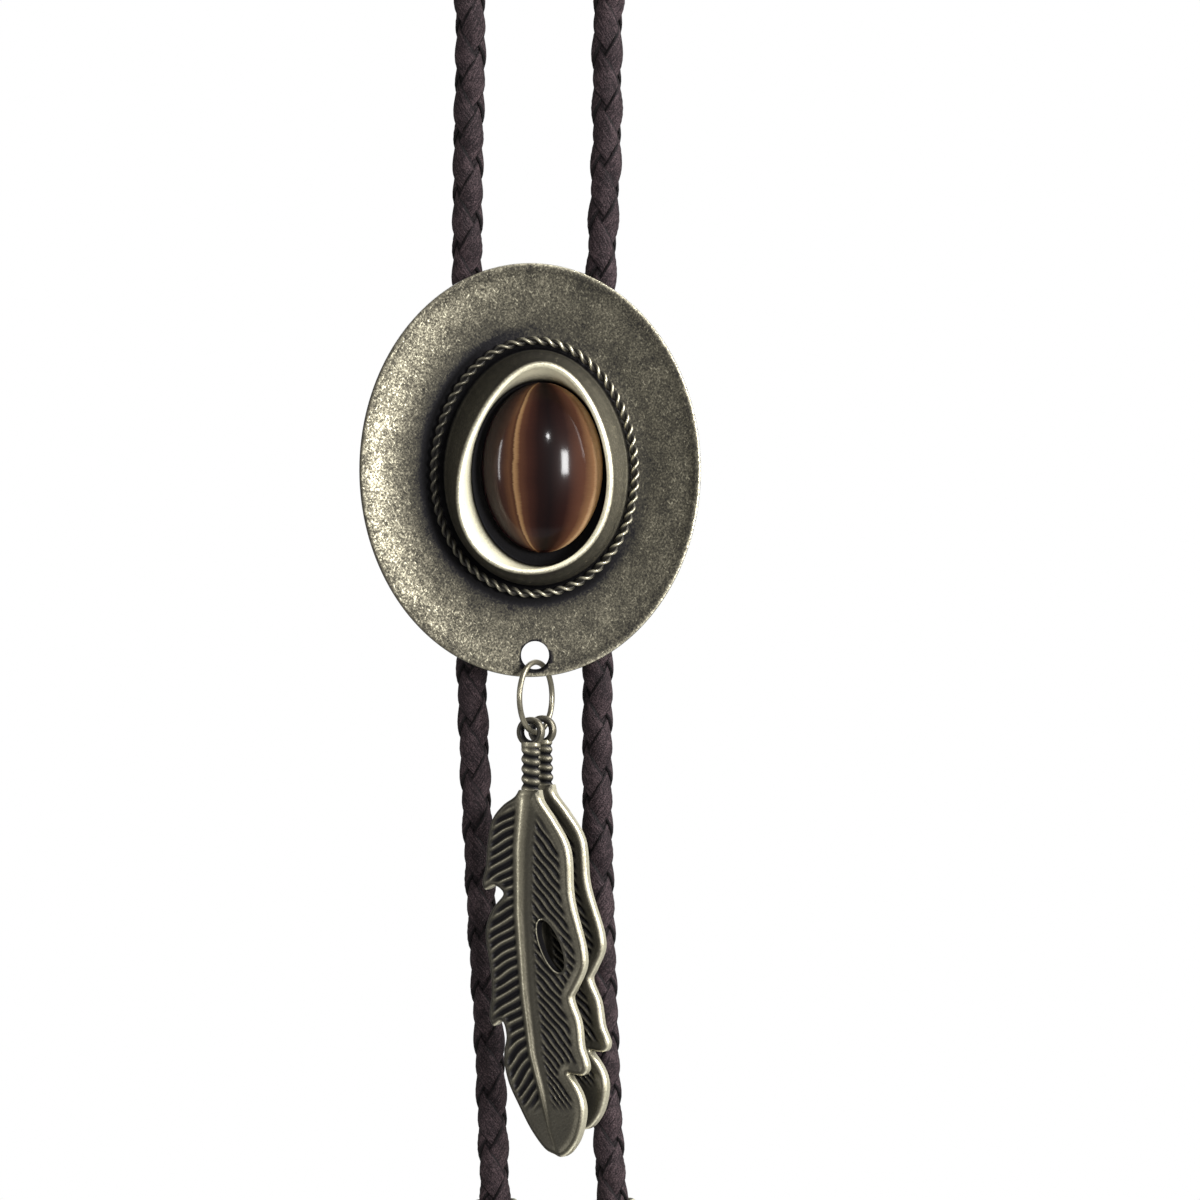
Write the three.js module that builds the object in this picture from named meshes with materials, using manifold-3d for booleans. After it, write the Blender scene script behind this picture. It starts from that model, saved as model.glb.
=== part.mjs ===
// Bolo tie: a slide shaped as a small hat with an oval stone in its crown, two cast feathers that
// hang from it on a jump ring, and a round braided cord that makes the neck loop and two tipped tails.
// Millimetres, +Z up, the front faces -Y. The origin is where the loop hangs: the underside of the
// cord at the top of the loop. Heights and routes below are measured from the slide's centre.

import * as THREE from 'three';
import { mergeVertices } from 'three/addons/utils/BufferGeometryUtils.js';
import Module from 'manifold-3d';

const wasm = await Module();
wasm.setup();

const SEAT_GAP = 0.3;
const SMALL_ANGLE = 0.01;

// Cord
const CORD_R = 2;
const CORD_SIDES = 10;
const CORD_STEP = 10;
const CORD_Y = 5.5;
const TAIL_Y = 8;
const LOOP_TOP = 168;

// Neck loop, from the left sleeve up, round and down to the right sleeve: x, height
const NECK_ROUTE = [
  [-7.5, 0.15], [-7.65, 12], [-7.75, 24], [-7.6, 40], [-7.4, 56], [-8.6, 67], [-13.5, 77],
  [-24, 85.5], [-39, 91], [-56, 95.5], [-71, 102.5], [-81.5, 113.5], [-86, 126.5], [-83, 140.5],
  [-73, 152.5], [-57, 161], [-38, 165.8], [-19, 167.6], [0, LOOP_TOP], [19, 167.6], [38, 165.8],
  [57, 161], [73, 152.5], [83, 140.5], [86, 126.5], [81.5, 113.5], [71, 102.5], [56, 95.5],
  [40, 91], [26, 85.5], [15.6, 77], [10.8, 67], [9.5, 56], [9.3, 40], [8.6, 24], [8.4, 12], [8.35, 0.15],
];

// Tails, from the sleeve down: x, depth, height
const TAIL_LEFT_ROUTE = [
  [-7.5, CORD_Y, -0.15], [-7.45, CORD_Y, -9], [-7.3, 6.2, -21], [-7, 7.4, -32], [-6.5, TAIL_Y, -44],
  [-5.9, TAIL_Y, -56], [-5.2, TAIL_Y, -68], [-4.7, TAIL_Y, -80], [-4.2, TAIL_Y, -94.5],
];
const TAIL_RIGHT_ROUTE = [
  [8.35, CORD_Y, -0.15], [8.3, CORD_Y, -9], [8.25, 6.2, -21], [8.15, 7.4, -32], [8.2, TAIL_Y, -44],
  [8.5, TAIL_Y, -56], [8.9, TAIL_Y, -68], [9.4, TAIL_Y, -80], [10.4, TAIL_Y, -94.5],
];

// Tip: a plain cup over the cord's end
const TIP_LENGTH = 22;
const TIP_R = 2.75;
const TIP_SOCKET_R = CORD_R + 0.3;
const TIP_SOCKET_DEPTH = 5.5;
const TIP_SIDES = 20;
// Outside below the straight wall, as shares of the radius and the length
const TIP_TAPER = [[1, 0.34], [0.92, 0.4], [0.62, 0.92], [0.4, 0.985], [0, 1]];

// Hat: rings from the middle of the stone's recess over the rim and the brim to the back.
// y: depth, a: half width, b: half height, x and z: centre, lean: shift of the top, egg: taper
const HAT_SIDES = 48;
const BRIM_A = 20.7;
const BRIM_B = 25.1;
const BRIM_THICK = 1;
const BASE_Y = 0.9;
const FLOOR_Y = -0.6;
const RIM_Y = -6.1;
const HAT_RINGS = [
  { y: FLOOR_Y, a: 8.3, b: 11.3, x: 1.2, z: -0.45, lean: 0, egg: 0 },
  { y: -3.2, a: 8.35, b: 11.7, x: 1, z: -0.2, lean: 0.3, egg: 0.1 },
  { y: RIM_Y + 0.3, a: 8.5, b: 12.2, x: 0.75, z: 0.1, lean: 0.7, egg: 0.2 },
  { y: RIM_Y, a: 8.9, b: 12.5, x: 0.75, z: 0.12, lean: 0.7, egg: 0.2 },
  { y: RIM_Y + 0.35, a: 9.3, b: 12.85, x: 0.75, z: 0.12, lean: 0.7, egg: 0.19 },
  { y: -2.8, a: 10.4, b: 13.75, x: 0.75, z: 0.2, lean: 0.3, egg: 0.11 },
  { y: BASE_Y, a: 11.4, b: 14.5, x: 0.73, z: 0.3, lean: 0, egg: 0.05 },
  { y: BASE_Y, a: 13.3, b: 16.5, x: 0.5, z: 0.3, lean: 0, egg: 0.03 },
  { y: 0.35, a: 17, b: 20.8, x: 0.2, z: 0.1, lean: 0, egg: 0 },
  { y: -0.5, a: BRIM_A - 0.25, b: BRIM_B - 0.25, x: 0, z: 0, lean: 0, egg: 0 },
  { y: 0, a: BRIM_A, b: BRIM_B, x: 0, z: 0, lean: 0, egg: 0 },
  { y: BRIM_THICK / 2, a: BRIM_A - 0.25, b: BRIM_B - 0.25, x: 0, z: 0, lean: 0, egg: 0 },
  { y: 0.35 + BRIM_THICK, a: 17, b: 20.8, x: 0.2, z: 0.1, lean: 0, egg: 0 },
  { y: BASE_Y + BRIM_THICK, a: 13.3, b: 16.5, x: 0.5, z: 0.3, lean: 0, egg: 0 },
];
const HOLE_X = 0.6;
const HOLE_Z = -22.45;
const HOLE_R = 1.7;
const HOLE_SIDES = 20;
const CUT_DEPTH = 5;

// Twisted wire band at the crown's foot
const BAND_WIRE_R = 0.52;
const BAND = { a: 12.2, b: 15.35, x: 0.55, z: 0.35, lean: 0, egg: 0.05 };
const BAND_TWISTS = 62;
const BAND_WAIST = 0.78;
const BAND_SIDES = 8;

// Stone: an oval cabochon on the floor of the recess
const STONE = { a: 7.33, b: 10.3, x: 1.5, z: 0.25, lean: 0, egg: 0.02 };
const STONE_GIRDLE = 0.6;
const STONE_DOME = 4.3;
const STONE_SIDES = 40;
const STONE_ROWS = 6;

// Clasp behind the hat: a plate with a sleeve for each cord
const CLASP_WIDTH = 24;
const CLASP_HEIGHT = 16;
const CLASP_THICK = 0.9;
const SLEEVE_X = [-7.5, 8.35];
const SLEEVE_R = 3.05;
const SLEEVE_BORE_R = CORD_R + 0.4;
const SLEEVE_SIDES = 20;

// Jump ring, turned about the vertical as it hangs
const TURN = THREE.MathUtils.degToRad(27);
const RING_R = 4.25;
const RING_WIRE_R = 0.34;
const RING_WIRE_SIDES = 6;
const RING_SIDES = 36;
const RING_LIFT = 0.52;
const RING_X = 0.7;
const RING_Y = 0.05;
const RING_Z = HOLE_Z - HOLE_R + RING_LIFT + RING_WIRE_R - RING_R;

// Feathers: eye, wrapped quill and vane. Distances down are from the centre of the eye.
const EYE_R = 1.62;
const EYE_HOLE_R = 1;
const EYE_THICK = 1;
const EYE_DROP = 0.15;
const EYE_SIDES = 20;
const EYE_CHAMFER = 0.25;
const QUILL_TOP = 1.3;
const QUILL_END = 8.6;
const QUILL_R = 1.15;
const QUILL_WRAP = 0.22;
const QUILL_WRAPS = 5;
const QUILL_FLATTEN = 0.62;
const QUILL_SIDES = 12;
const VANE_THICK = 1.1;
const RELIEF_SINK = 0.1;
const RIB_RELIEF = 0.45;
const BARB_RELIEF = 0.28;
const BARB_FIRST = 10;
const BARB_LAST = 45;
const BARB_PITCH = 2.3;
const BARB_HALF_WIDTH = 0.275;
const BARB_REACH = 10;
const BARB_LEFT_ANGLE = THREE.MathUtils.degToRad(24);
const BARB_RIGHT_ANGLE = THREE.MathUtils.degToRad(52);
const SLIT = { x: 3.1, down: 25.8, a: 1.25, b: 3.4, tilt: THREE.MathUtils.degToRad(24) };
const SLIT_SIDES = 16;

// Outline of the vane: x, distance down
const VANE_LEFT = [
  [-1.3, 7], [-1.9, 7.8], [-3.5, 8.85], [-5, 10.55], [-5.7, 13.3], [-6, 16.4], [-6.45, 18.5],
  [-6.05, 19.2], [-4.6, 18.7], [-3.5, 19.6], [-4.6, 21], [-5.45, 22.3], [-6, 24.4], [-5.35, 28.8],
  [-5.15, 31.6], [-5.45, 34.8], [-4.95, 35.7], [-3.7, 35.1], [-3.1, 36.8], [-3.4, 38.6], [-3.45, 39.8],
  [-2.85, 42.4], [-1.2, 45.2], [0.8, 48.2], [2.85, 50.3],
];
const VANE_TIP = [4.3, 51.2];
const VANE_RIGHT = [
  [5.9, 49.6], [7, 47.6], [7.4, 45.4], [7, 43.6], [5.4, 41.1], [7.4, 41.2], [7.9, 40.3], [7.2, 38],
  [6.8, 35], [5.75, 31.9], [6.2, 31], [7.5, 28.2], [7.45, 26.3], [5.75, 20], [5.2, 14], [3.3, 10.6],
  [1.6, 8.2], [1.3, 7],
];

// Middle of the rib: x, distance down, half width
const RIB = [
  [-0.4, 7, 0.8], [-1.1, 14, 0.62], [-1.1, 22, 0.5], [-0.35, 31.6, 0.42], [0.7, 39, 0.34],
  [1.9, 43.2, 0.28], [3, 48, 0.15],
];

// y along the ring's wire, length of the vane against the front one, slant in degrees
const FEATHERS = {
  feather_front: { along: -1.3, stretch: 1, slant: 0 },
  feather_back: { along: 1.7, stretch: 0.945, slant: -2 },
};

const METAL = { color: 0x8a8063, roughness: 0.42, metalness: 0.95 };
const METALS = {
  antique: new THREE.MeshStandardMaterial(METAL),
  wire: new THREE.MeshStandardMaterial({ ...METAL, color: 0xa59a6e, roughness: 0.3 }),
};
const LEATHER = new THREE.MeshStandardMaterial({ color: 0x3f3232, roughness: 0.75, metalness: 0 });
const GLASS = new THREE.MeshStandardMaterial({ color: 0x5a2a18, roughness: 0.08, metalness: 0 });

// A solid from a closed geometry.
function solid(geometry) {
  const bare = new THREE.BufferGeometry();
  bare.setAttribute('position', geometry.getAttribute('position').clone());
  if (geometry.index) bare.setIndex(geometry.index.clone());
  const merged = mergeVertices(bare, 1e-4);
  const vertProperties = new Float32Array(merged.getAttribute('position').array);
  const triVerts = new Uint32Array(merged.index.array);
  return new wasm.Manifold(new wasm.Mesh({ numProp: 3, vertProperties, triVerts }));
}

// The geometry of a solid, with flat faces.
function geometryOf(manifold) {
  const mesh = manifold.getMesh();
  const geometry = new THREE.BufferGeometry();
  geometry.setAttribute('position', new THREE.BufferAttribute(new Float32Array(mesh.vertProperties), 3));
  geometry.setIndex(new THREE.BufferAttribute(new Uint32Array(mesh.triVerts), 1));
  geometry.computeVertexNormals();
  return geometry;
}

// A point of an oval that can taper and lean towards its top.
function ovalPoint(ring, angle) {
  const up = Math.sin(angle);
  const x = ring.x + ring.lean * up + ring.a * Math.cos(angle) * (1 - ring.egg * up);
  return [x, ring.z + ring.b * up];
}

// A closed body through ovals, with a point in the middle of the first and the last one.
function loftOvals(rings, sides) {
  const positions = [];
  const faces = [];
  for (const ring of rings) {
    for (let k = 0; k < sides; k += 1) {
      const [x, z] = ovalPoint(ring, (2 * Math.PI * k) / sides);
      positions.push(x, ring.y, z);
    }
  }
  const first = rings[0];
  const last = rings[rings.length - 1];
  const firstMiddle = rings.length * sides;
  positions.push(first.x, first.y, first.z, last.x, last.y, last.z);
  for (let k = 0; k < sides; k += 1) {
    const next = (k + 1) % sides;
    const low = (rings.length - 1) * sides;
    faces.push(firstMiddle, k, next);
    faces.push(firstMiddle + 1, low + next, low + k);
    for (let i = 0; i < rings.length - 1; i += 1) {
      const a = i * sides + k;
      const b = i * sides + next;
      faces.push(a, a + sides, b + sides, a, b + sides, b);
    }
  }
  const geometry = new THREE.BufferGeometry();
  geometry.setAttribute('position', new THREE.Float32BufferAttribute(positions, 3));
  geometry.setIndex(faces);
  return geometry;
}

// A round bar along the X, Y or Z axis.
function bar(radius, length, sides, axis) {
  const geometry = new THREE.CylinderGeometry(radius, radius, length, sides);
  if (axis === 'z') geometry.rotateX(Math.PI / 2);
  if (axis === 'x') geometry.rotateZ(Math.PI / 2);
  return geometry;
}

function hatBody() {
  const hole = bar(HOLE_R, CUT_DEPTH, HOLE_SIDES, 'y').translate(HOLE_X, 0, HOLE_Z);
  return geometryOf(solid(loftOvals(HAT_RINGS, HAT_SIDES)).subtract(solid(hole)));
}

// A wire that swells once in each half twist, laid round the crown's foot.
function hatBand() {
  const steps = BAND_TWISTS * 2;
  const wireY = BASE_Y - SEAT_GAP - BAND_WIRE_R;
  const positions = [];
  const faces = [];
  for (let i = 0; i < steps; i += 1) {
    const angle = (2 * Math.PI * i) / steps;
    const [x, z] = ovalPoint(BAND, angle);
    const [nearX, nearZ] = ovalPoint(BAND, angle + SMALL_ANGLE);
    const out = new THREE.Vector2(nearZ - z, x - nearX).normalize();
    const r = i % 2 ? BAND_WIRE_R : BAND_WIRE_R * BAND_WAIST;
    for (let k = 0; k < BAND_SIDES; k += 1) {
      const turn = (2 * Math.PI * (k + 0.5)) / BAND_SIDES;
      const side = r * Math.cos(turn);
      positions.push(x + out.x * side, wireY + r * Math.sin(turn), z + out.y * side);
    }
  }
  for (let i = 0; i < steps; i += 1) {
    for (let k = 0; k < BAND_SIDES; k += 1) {
      const a = i * BAND_SIDES + k;
      const b = i * BAND_SIDES + ((k + 1) % BAND_SIDES);
      const c = ((i + 1) % steps) * BAND_SIDES + k;
      const d = ((i + 1) % steps) * BAND_SIDES + ((k + 1) % BAND_SIDES);
      faces.push(a, b, d, a, d, c);
    }
  }
  const geometry = new THREE.BufferGeometry();
  geometry.setAttribute('position', new THREE.Float32BufferAttribute(positions, 3));
  geometry.setIndex(faces);
  geometry.computeVertexNormals();
  return geometry;
}

function stone() {
  const seat = FLOOR_Y - SEAT_GAP;
  const rings = [];
  for (let i = STONE_ROWS; i >= 1; i -= 1) {
    const angle = (Math.PI / 2) * (1 - i / (STONE_ROWS + 1));
    const size = Math.cos(Math.PI / 2 - angle);
    rings.push({
      ...STONE,
      y: seat - STONE_GIRDLE - STONE_DOME * Math.cos(angle),
      a: STONE.a * size,
      b: STONE.b * size,
    });
  }
  rings.push({ ...STONE, y: seat - STONE_GIRDLE });
  rings.push({ ...STONE, y: seat });
  const geometry = loftOvals(rings, STONE_SIDES);
  const middleOfFirst = rings.length * STONE_SIDES;
  geometry.getAttribute('position').setY(middleOfFirst, seat - STONE_GIRDLE - STONE_DOME);
  return geometryOf(solid(geometry));
}

function cordClasp() {
  const backY = BASE_Y + BRIM_THICK + SEAT_GAP;
  const middle = (SLEEVE_X[0] + SLEEVE_X[1]) / 2;
  const plate = new THREE.BoxGeometry(CLASP_WIDTH, CLASP_THICK, CLASP_HEIGHT);
  let body = solid(plate.translate(middle, backY + CLASP_THICK / 2, 0));
  for (const x of SLEEVE_X) {
    body = body.add(solid(bar(SLEEVE_R, CLASP_HEIGHT, SLEEVE_SIDES, 'z').translate(x, CORD_Y, 0)));
  }
  for (const x of SLEEVE_X) {
    const bore = bar(SLEEVE_BORE_R, CLASP_HEIGHT + 2, SLEEVE_SIDES, 'z').translate(x, CORD_Y, 0);
    body = body.subtract(solid(bore));
  }
  return geometryOf(body);
}

function jumpRing() {
  return new THREE.TorusGeometry(RING_R, RING_WIRE_R, RING_WIRE_SIDES, RING_SIDES).rotateY(Math.PI / 2);
}

// A flat outline in x and distance down, as thick as asked, with its front at -thick / 2.
function plateOf(points, thick, stretch) {
  const corners = points.map(([x, down]) => new THREE.Vector2(x, -down * stretch));
  const plate = new THREE.ExtrudeGeometry(new THREE.Shape(corners), { depth: thick, bevelEnabled: false });
  return plate.rotateX(Math.PI / 2).translate(0, thick / 2, 0);
}

// A ridge of triangular section from one point to another on the front of the vane.
function ridge(from, to, halfFrom, halfTo, height) {
  const along = new THREE.Vector2(to[0] - from[0], from[1] - to[1]).normalize();
  const front = -VANE_THICK / 2;
  const positions = [];
  for (const [point, half] of [[from, halfFrom], [to, halfTo]]) {
    const [x, down] = point;
    positions.push(x - along.y * half, front + RELIEF_SINK, -down + along.x * half);
    positions.push(x + along.y * half, front + RELIEF_SINK, -down - along.x * half);
    positions.push(x, front - height, -down);
  }
  const geometry = new THREE.BufferGeometry();
  geometry.setAttribute('position', new THREE.Float32BufferAttribute(positions, 3));
  geometry.setIndex([0, 1, 2, 3, 5, 4, 0, 4, 1, 0, 3, 4, 1, 5, 2, 1, 4, 5, 2, 3, 0, 2, 5, 3]);
  return geometry;
}

// The middle of the rib at a distance down.
function ribX(down) {
  const i = Math.max(1, RIB.findIndex((row) => row[1] >= down));
  const [x0, d0] = RIB[i - 1];
  const [x1, d1] = RIB[i];
  return x0 + ((x1 - x0) * (down - d0)) / (d1 - d0);
}

// The eye before it is pierced: a disc with chamfered rims.
function eyeDisc() {
  const half = EYE_THICK / 2;
  const side = half - EYE_CHAMFER;
  const flat = EYE_R - EYE_CHAMFER;
  const profile = [[0, -half], [flat, -half], [EYE_R, -side], [EYE_R, side], [flat, half], [0, half]];
  return new THREE.LatheGeometry(profile.map(([r, y]) => new THREE.Vector2(r, y)), EYE_SIDES);
}

function wrappedQuill(stretch) {
  const steps = QUILL_WRAPS * 2 + 1;
  const length = (QUILL_END - QUILL_TOP) * stretch;
  const profile = [new THREE.Vector2(0, -QUILL_TOP - length)];
  for (let i = 0; i <= steps; i += 1) {
    const r = QUILL_R + (i % 2 ? QUILL_WRAP : 0);
    profile.push(new THREE.Vector2(r, -QUILL_TOP - length * (1 - i / steps)));
  }
  profile.push(new THREE.Vector2(0, -QUILL_TOP));
  const quill = new THREE.LatheGeometry(profile, QUILL_SIDES);
  return quill.rotateX(Math.PI / 2).scale(1, QUILL_FLATTEN, 1);
}

// A cast feather with its eye's centre at the origin and its front facing -Y.
function feather({ stretch }) {
  const outline = [...VANE_LEFT, VANE_TIP, ...VANE_RIGHT];
  let relief = null;
  const raise = (from, to, halfFrom, halfTo, height) => {
    const start = [from[0], from[1] * stretch];
    const end = [to[0], to[1] * stretch];
    const piece = solid(ridge(start, end, halfFrom, halfTo, height));
    relief = relief ? relief.add(piece) : piece;
  };
  for (let i = 0; i < RIB.length - 1; i += 1) {
    const [x0, d0, half0] = RIB[i];
    const [x1, d1, half1] = RIB[i + 1];
    raise([x0, d0], [x1, d1], half0, half1, RIB_RELIEF);
  }
  for (let down = BARB_FIRST; down < BARB_LAST; down += BARB_PITCH) {
    const x = ribX(down);
    for (const [side, angle] of [[-1, BARB_LEFT_ANGLE], [1, BARB_RIGHT_ANGLE]]) {
      const end = [x + side * BARB_REACH * Math.cos(angle), down + BARB_REACH * Math.sin(angle)];
      raise([x, down], end, BARB_HALF_WIDTH, BARB_HALF_WIDTH, BARB_RELIEF);
    }
  }
  const stamp = solid(plateOf(outline, VANE_THICK + 2 * RIB_RELIEF, stretch));
  let body = solid(plateOf(outline, VANE_THICK, stretch)).add(relief.intersect(stamp));
  const slit = bar(1, CUT_DEPTH, SLIT_SIDES, 'y').scale(SLIT.a, 1, SLIT.b).rotateY(-SLIT.tilt);
  body = body.subtract(solid(slit.translate(SLIT.x, 0, -SLIT.down * stretch)));
  body = body.add(solid(wrappedQuill(stretch)));
  body = body.add(solid(eyeDisc()));
  return geometryOf(body.subtract(solid(bar(EYE_HOLE_R, CUT_DEPTH, EYE_SIDES, 'y'))));
}

// A cord along a smooth curve through the points of its route.
function cord(route) {
  const curve = new THREE.CatmullRomCurve3(route.map((point) => new THREE.Vector3(...point)));
  const section = new THREE.Shape();
  for (let k = 0; k < CORD_SIDES; k += 1) {
    const angle = (2 * Math.PI * k) / CORD_SIDES;
    const x = CORD_R * Math.cos(angle);
    const y = CORD_R * Math.sin(angle);
    if (k) section.lineTo(x, y);
    else section.moveTo(x, y);
  }
  section.closePath();
  const steps = Math.round(curve.getLength() / CORD_STEP);
  return new THREE.ExtrudeGeometry(section, { steps, bevelEnabled: false, extrudePath: curve });
}

// A tip with its mouth at the origin, pointing down.
function tip() {
  const profile = [
    [0, -TIP_SOCKET_DEPTH], [TIP_SOCKET_R, -TIP_SOCKET_DEPTH], [TIP_SOCKET_R, 0], [TIP_R, 0],
    ...TIP_TAPER.map(([r, down]) => [TIP_R * r, -TIP_LENGTH * down]),
  ];
  const points = profile.map(([r, z]) => new THREE.Vector2(r, z)).reverse();
  return new THREE.LatheGeometry(points, TIP_SIDES).rotateX(Math.PI / 2);
}

const part = new THREE.Group();
part.position.set(0, -CORD_Y, -(LOOP_TOP - CORD_R));

function addMesh(parent, name, geometry, material) {
  const mesh = new THREE.Mesh(geometry, material);
  mesh.name = name;
  parent.add(mesh);
  return mesh;
}

addMesh(part, 'hat_body', hatBody(), METALS.antique);
addMesh(part, 'hat_band', hatBand(), METALS.wire);
addMesh(part, 'stone', stone(), GLASS);
addMesh(part, 'cord_clasp', cordClasp(), METALS.antique);

const drop = new THREE.Group();
drop.position.set(RING_X, RING_Y, RING_Z);
drop.rotation.z = -TURN;
part.add(drop);
addMesh(drop, 'jump_ring', jumpRing(), METALS.wire);
for (const [name, spec] of Object.entries(FEATHERS)) {
  const hang = new THREE.Group();
  hang.position.set(0, spec.along, -Math.sqrt(RING_R ** 2 - spec.along ** 2));
  hang.rotation.y = THREE.MathUtils.degToRad(spec.slant);
  drop.add(hang);
  addMesh(hang, name, feather(spec), METALS.antique).position.z = -EYE_DROP;
}

addMesh(part, 'neck_cord', cord(NECK_ROUTE.map(([x, z]) => [x, CORD_Y, z])), LEATHER);
for (const [side, route] of [['left', TAIL_LEFT_ROUTE], ['right', TAIL_RIGHT_ROUTE]]) {
  addMesh(part, `tail_${side}`, cord(route), LEATHER);
  const end = new THREE.Vector3(...route[route.length - 1]);
  const before = new THREE.Vector3(...route[route.length - 2]);
  const away = end.clone().sub(before).normalize();
  const cap = addMesh(part, `tip_${side}`, tip(), METALS.wire);
  cap.position.copy(end).addScaledVector(away, SEAT_GAP - TIP_SOCKET_DEPTH);
  cap.quaternion.setFromUnitVectors(new THREE.Vector3(0, 0, -1), away);
}

export default part;
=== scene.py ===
"""Dresses a packed bolo tie: braided leather cord, antique brass hat slide, stone and feathers.

Sizes are millimetres from the middle of the slide, +Z up and the front towards -Y, and are moved
into the row frame, in metres, when a mesh is made.
"""

from __future__ import annotations

import logging
import math
from dataclasses import dataclass, field
from enum import Enum
from typing import Sequence

import bpy
import numpy as np
from mathutils import Matrix, Vector
from mathutils.geometry import delaunay_2d_cdt


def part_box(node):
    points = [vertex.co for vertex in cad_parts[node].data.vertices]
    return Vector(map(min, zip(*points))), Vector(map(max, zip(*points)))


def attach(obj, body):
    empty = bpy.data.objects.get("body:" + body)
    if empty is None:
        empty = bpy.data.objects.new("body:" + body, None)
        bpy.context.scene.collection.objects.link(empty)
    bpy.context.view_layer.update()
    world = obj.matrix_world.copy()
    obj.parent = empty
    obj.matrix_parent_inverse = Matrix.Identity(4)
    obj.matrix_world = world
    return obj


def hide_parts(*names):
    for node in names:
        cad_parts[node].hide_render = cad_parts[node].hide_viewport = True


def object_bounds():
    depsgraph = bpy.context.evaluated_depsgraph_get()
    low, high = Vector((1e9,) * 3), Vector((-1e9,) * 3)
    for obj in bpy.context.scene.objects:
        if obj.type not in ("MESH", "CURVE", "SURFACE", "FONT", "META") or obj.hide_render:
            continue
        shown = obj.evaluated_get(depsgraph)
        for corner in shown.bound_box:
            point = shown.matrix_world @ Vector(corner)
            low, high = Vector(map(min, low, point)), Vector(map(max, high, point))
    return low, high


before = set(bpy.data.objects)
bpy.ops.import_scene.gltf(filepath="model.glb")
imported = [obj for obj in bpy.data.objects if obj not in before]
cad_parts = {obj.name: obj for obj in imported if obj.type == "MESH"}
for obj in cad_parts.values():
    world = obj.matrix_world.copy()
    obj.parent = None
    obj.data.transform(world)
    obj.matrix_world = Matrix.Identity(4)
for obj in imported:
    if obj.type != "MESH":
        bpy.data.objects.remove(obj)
CAD_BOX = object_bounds()

LOG = logging.getLogger("bolo_tie")
MM = 0.001
FULL = 2 * math.pi
CORD_Y = 5.5
TAIL_Y = 8.0
SLEEVE_X = (-7.5, 8.35)
SLEEVE_R = 3.05
FRONT = np.array([0.0, -1.0, 0.0])
SPLINE_POINTS = 24
SHORTEST = 1e-4
SHARP_ANGLE = 40.0
ROUND_ANGLE = 60.0
NOISE_MEAN = 0.5
RAMP_MIDDLE = 0.5
WEAR_COLUMN = 7
POLISH_COLUMN = 8
NEAREST_BLOCK = 2000
TRIANGLES_INSIDE = 1
SAME_PLACE = 1e-6

Colour = tuple[float, float, float]
Array = np.ndarray


class Body(str, Enum):
    """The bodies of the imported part."""

    SLIDE = "slide"
    RING = "ring"
    FRONT = "feather_front"
    BACK = "feather_back"


class Slot(str, Enum):
    """The record's material slots."""

    BRASS = "antique_brass"
    WIRE = "bright_wire"
    LEATHER = "braided_leather"
    STONE = "tiger_eye"


def slide_middle() -> Vector:
    """Finds the middle of the slide from the hat and from the clasp behind it.

    Returns:
        The point in the row frame, in metres.
    """
    hat_low, hat_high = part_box("hat_body")
    clasp_low, clasp_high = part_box("cord_clasp")
    depth = clasp_high.y - (SLEEVE_R + CORD_Y) * MM
    return Vector(((hat_low.x + hat_high.x) / 2, depth, (clasp_low.z + clasp_high.z) / 2))


MIDDLE = slide_middle()


def smooth_curve(stations: Sequence[Sequence[float]], spacing: float, keys: int = 3) -> Array:
    """Lays a centripetal spline through stations and spaces points evenly on it.

    Args:
        stations: rows of numbers, of which the first ones are a place.
        spacing: distance between neighbouring points of the result.
        keys: how many of the numbers are the place.

    Returns:
        Rows like the stations, evenly spaced.
    """
    rows = np.array(stations, float)
    rows = np.vstack([2 * rows[0] - rows[1], rows, 2 * rows[-1] - rows[-2]])
    steps = np.maximum(np.sqrt(np.linalg.norm(np.diff(rows[:, :keys], axis=0), axis=1)), SHORTEST)
    dense = []
    share = np.linspace(0, 1, SPLINE_POINTS, endpoint=False)[:, None]
    for i in range(1, len(rows) - 2):
        before, start, end, after = rows[i - 1 : i + 3]
        first, gap, last = steps[i - 1 : i + 2]
        leave = ((start - before) / first - (end - before) / (first + gap)) * gap + (end - start)
        arrive = (end - start) + ((after - end) / last - (after - start) / (gap + last)) * gap
        cubic = 2 * (start - end) + leave + arrive
        square = 3 * (end - start) - 2 * leave - arrive
        dense.append(start + leave * share + square * share**2 + cubic * share**3)
    dense = np.vstack([*dense, rows[-2][None]])
    return evenly(dense, spacing, keys)


def evenly(rows: Array, spacing: float, keys: int = 3) -> Array:
    """Spaces points evenly along a line of close points.

    Args:
        rows: the points, with other numbers after their place.
        spacing: distance between neighbouring points of the result.
        keys: how many of the numbers are the place.

    Returns:
        Rows like the given ones.
    """
    run = run_length(rows[:, :keys])
    count = max(2, round(run[-1] / spacing) + 1)
    at = np.linspace(0, run[-1], count)
    return np.stack([np.interp(at, run, column) for column in rows.T], axis=1)


def run_length(points: Array) -> Array:
    """Gives the length of a line of points up to each of them."""
    return np.concatenate([[0], np.cumsum(np.linalg.norm(np.diff(points, axis=0), axis=1))])


def frames_along(path: Array) -> tuple[Array, Array]:
    """Carries a pair of cross directions along a path without turning them about it.

    Args:
        path: points of the line.

    Returns:
        Directions that start towards the viewer, and directions square to them and the line.
    """
    tangents = np.gradient(path, axis=0)
    tangents /= np.linalg.norm(tangents, axis=1)[:, None]
    facing = FRONT
    fronts = []
    for tangent in tangents:
        facing = facing - tangent * (facing @ tangent)
        facing = facing / np.linalg.norm(facing)
        fronts.append(facing)
    fronts = np.array(fronts)
    return fronts, np.cross(tangents, fronts)


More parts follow.
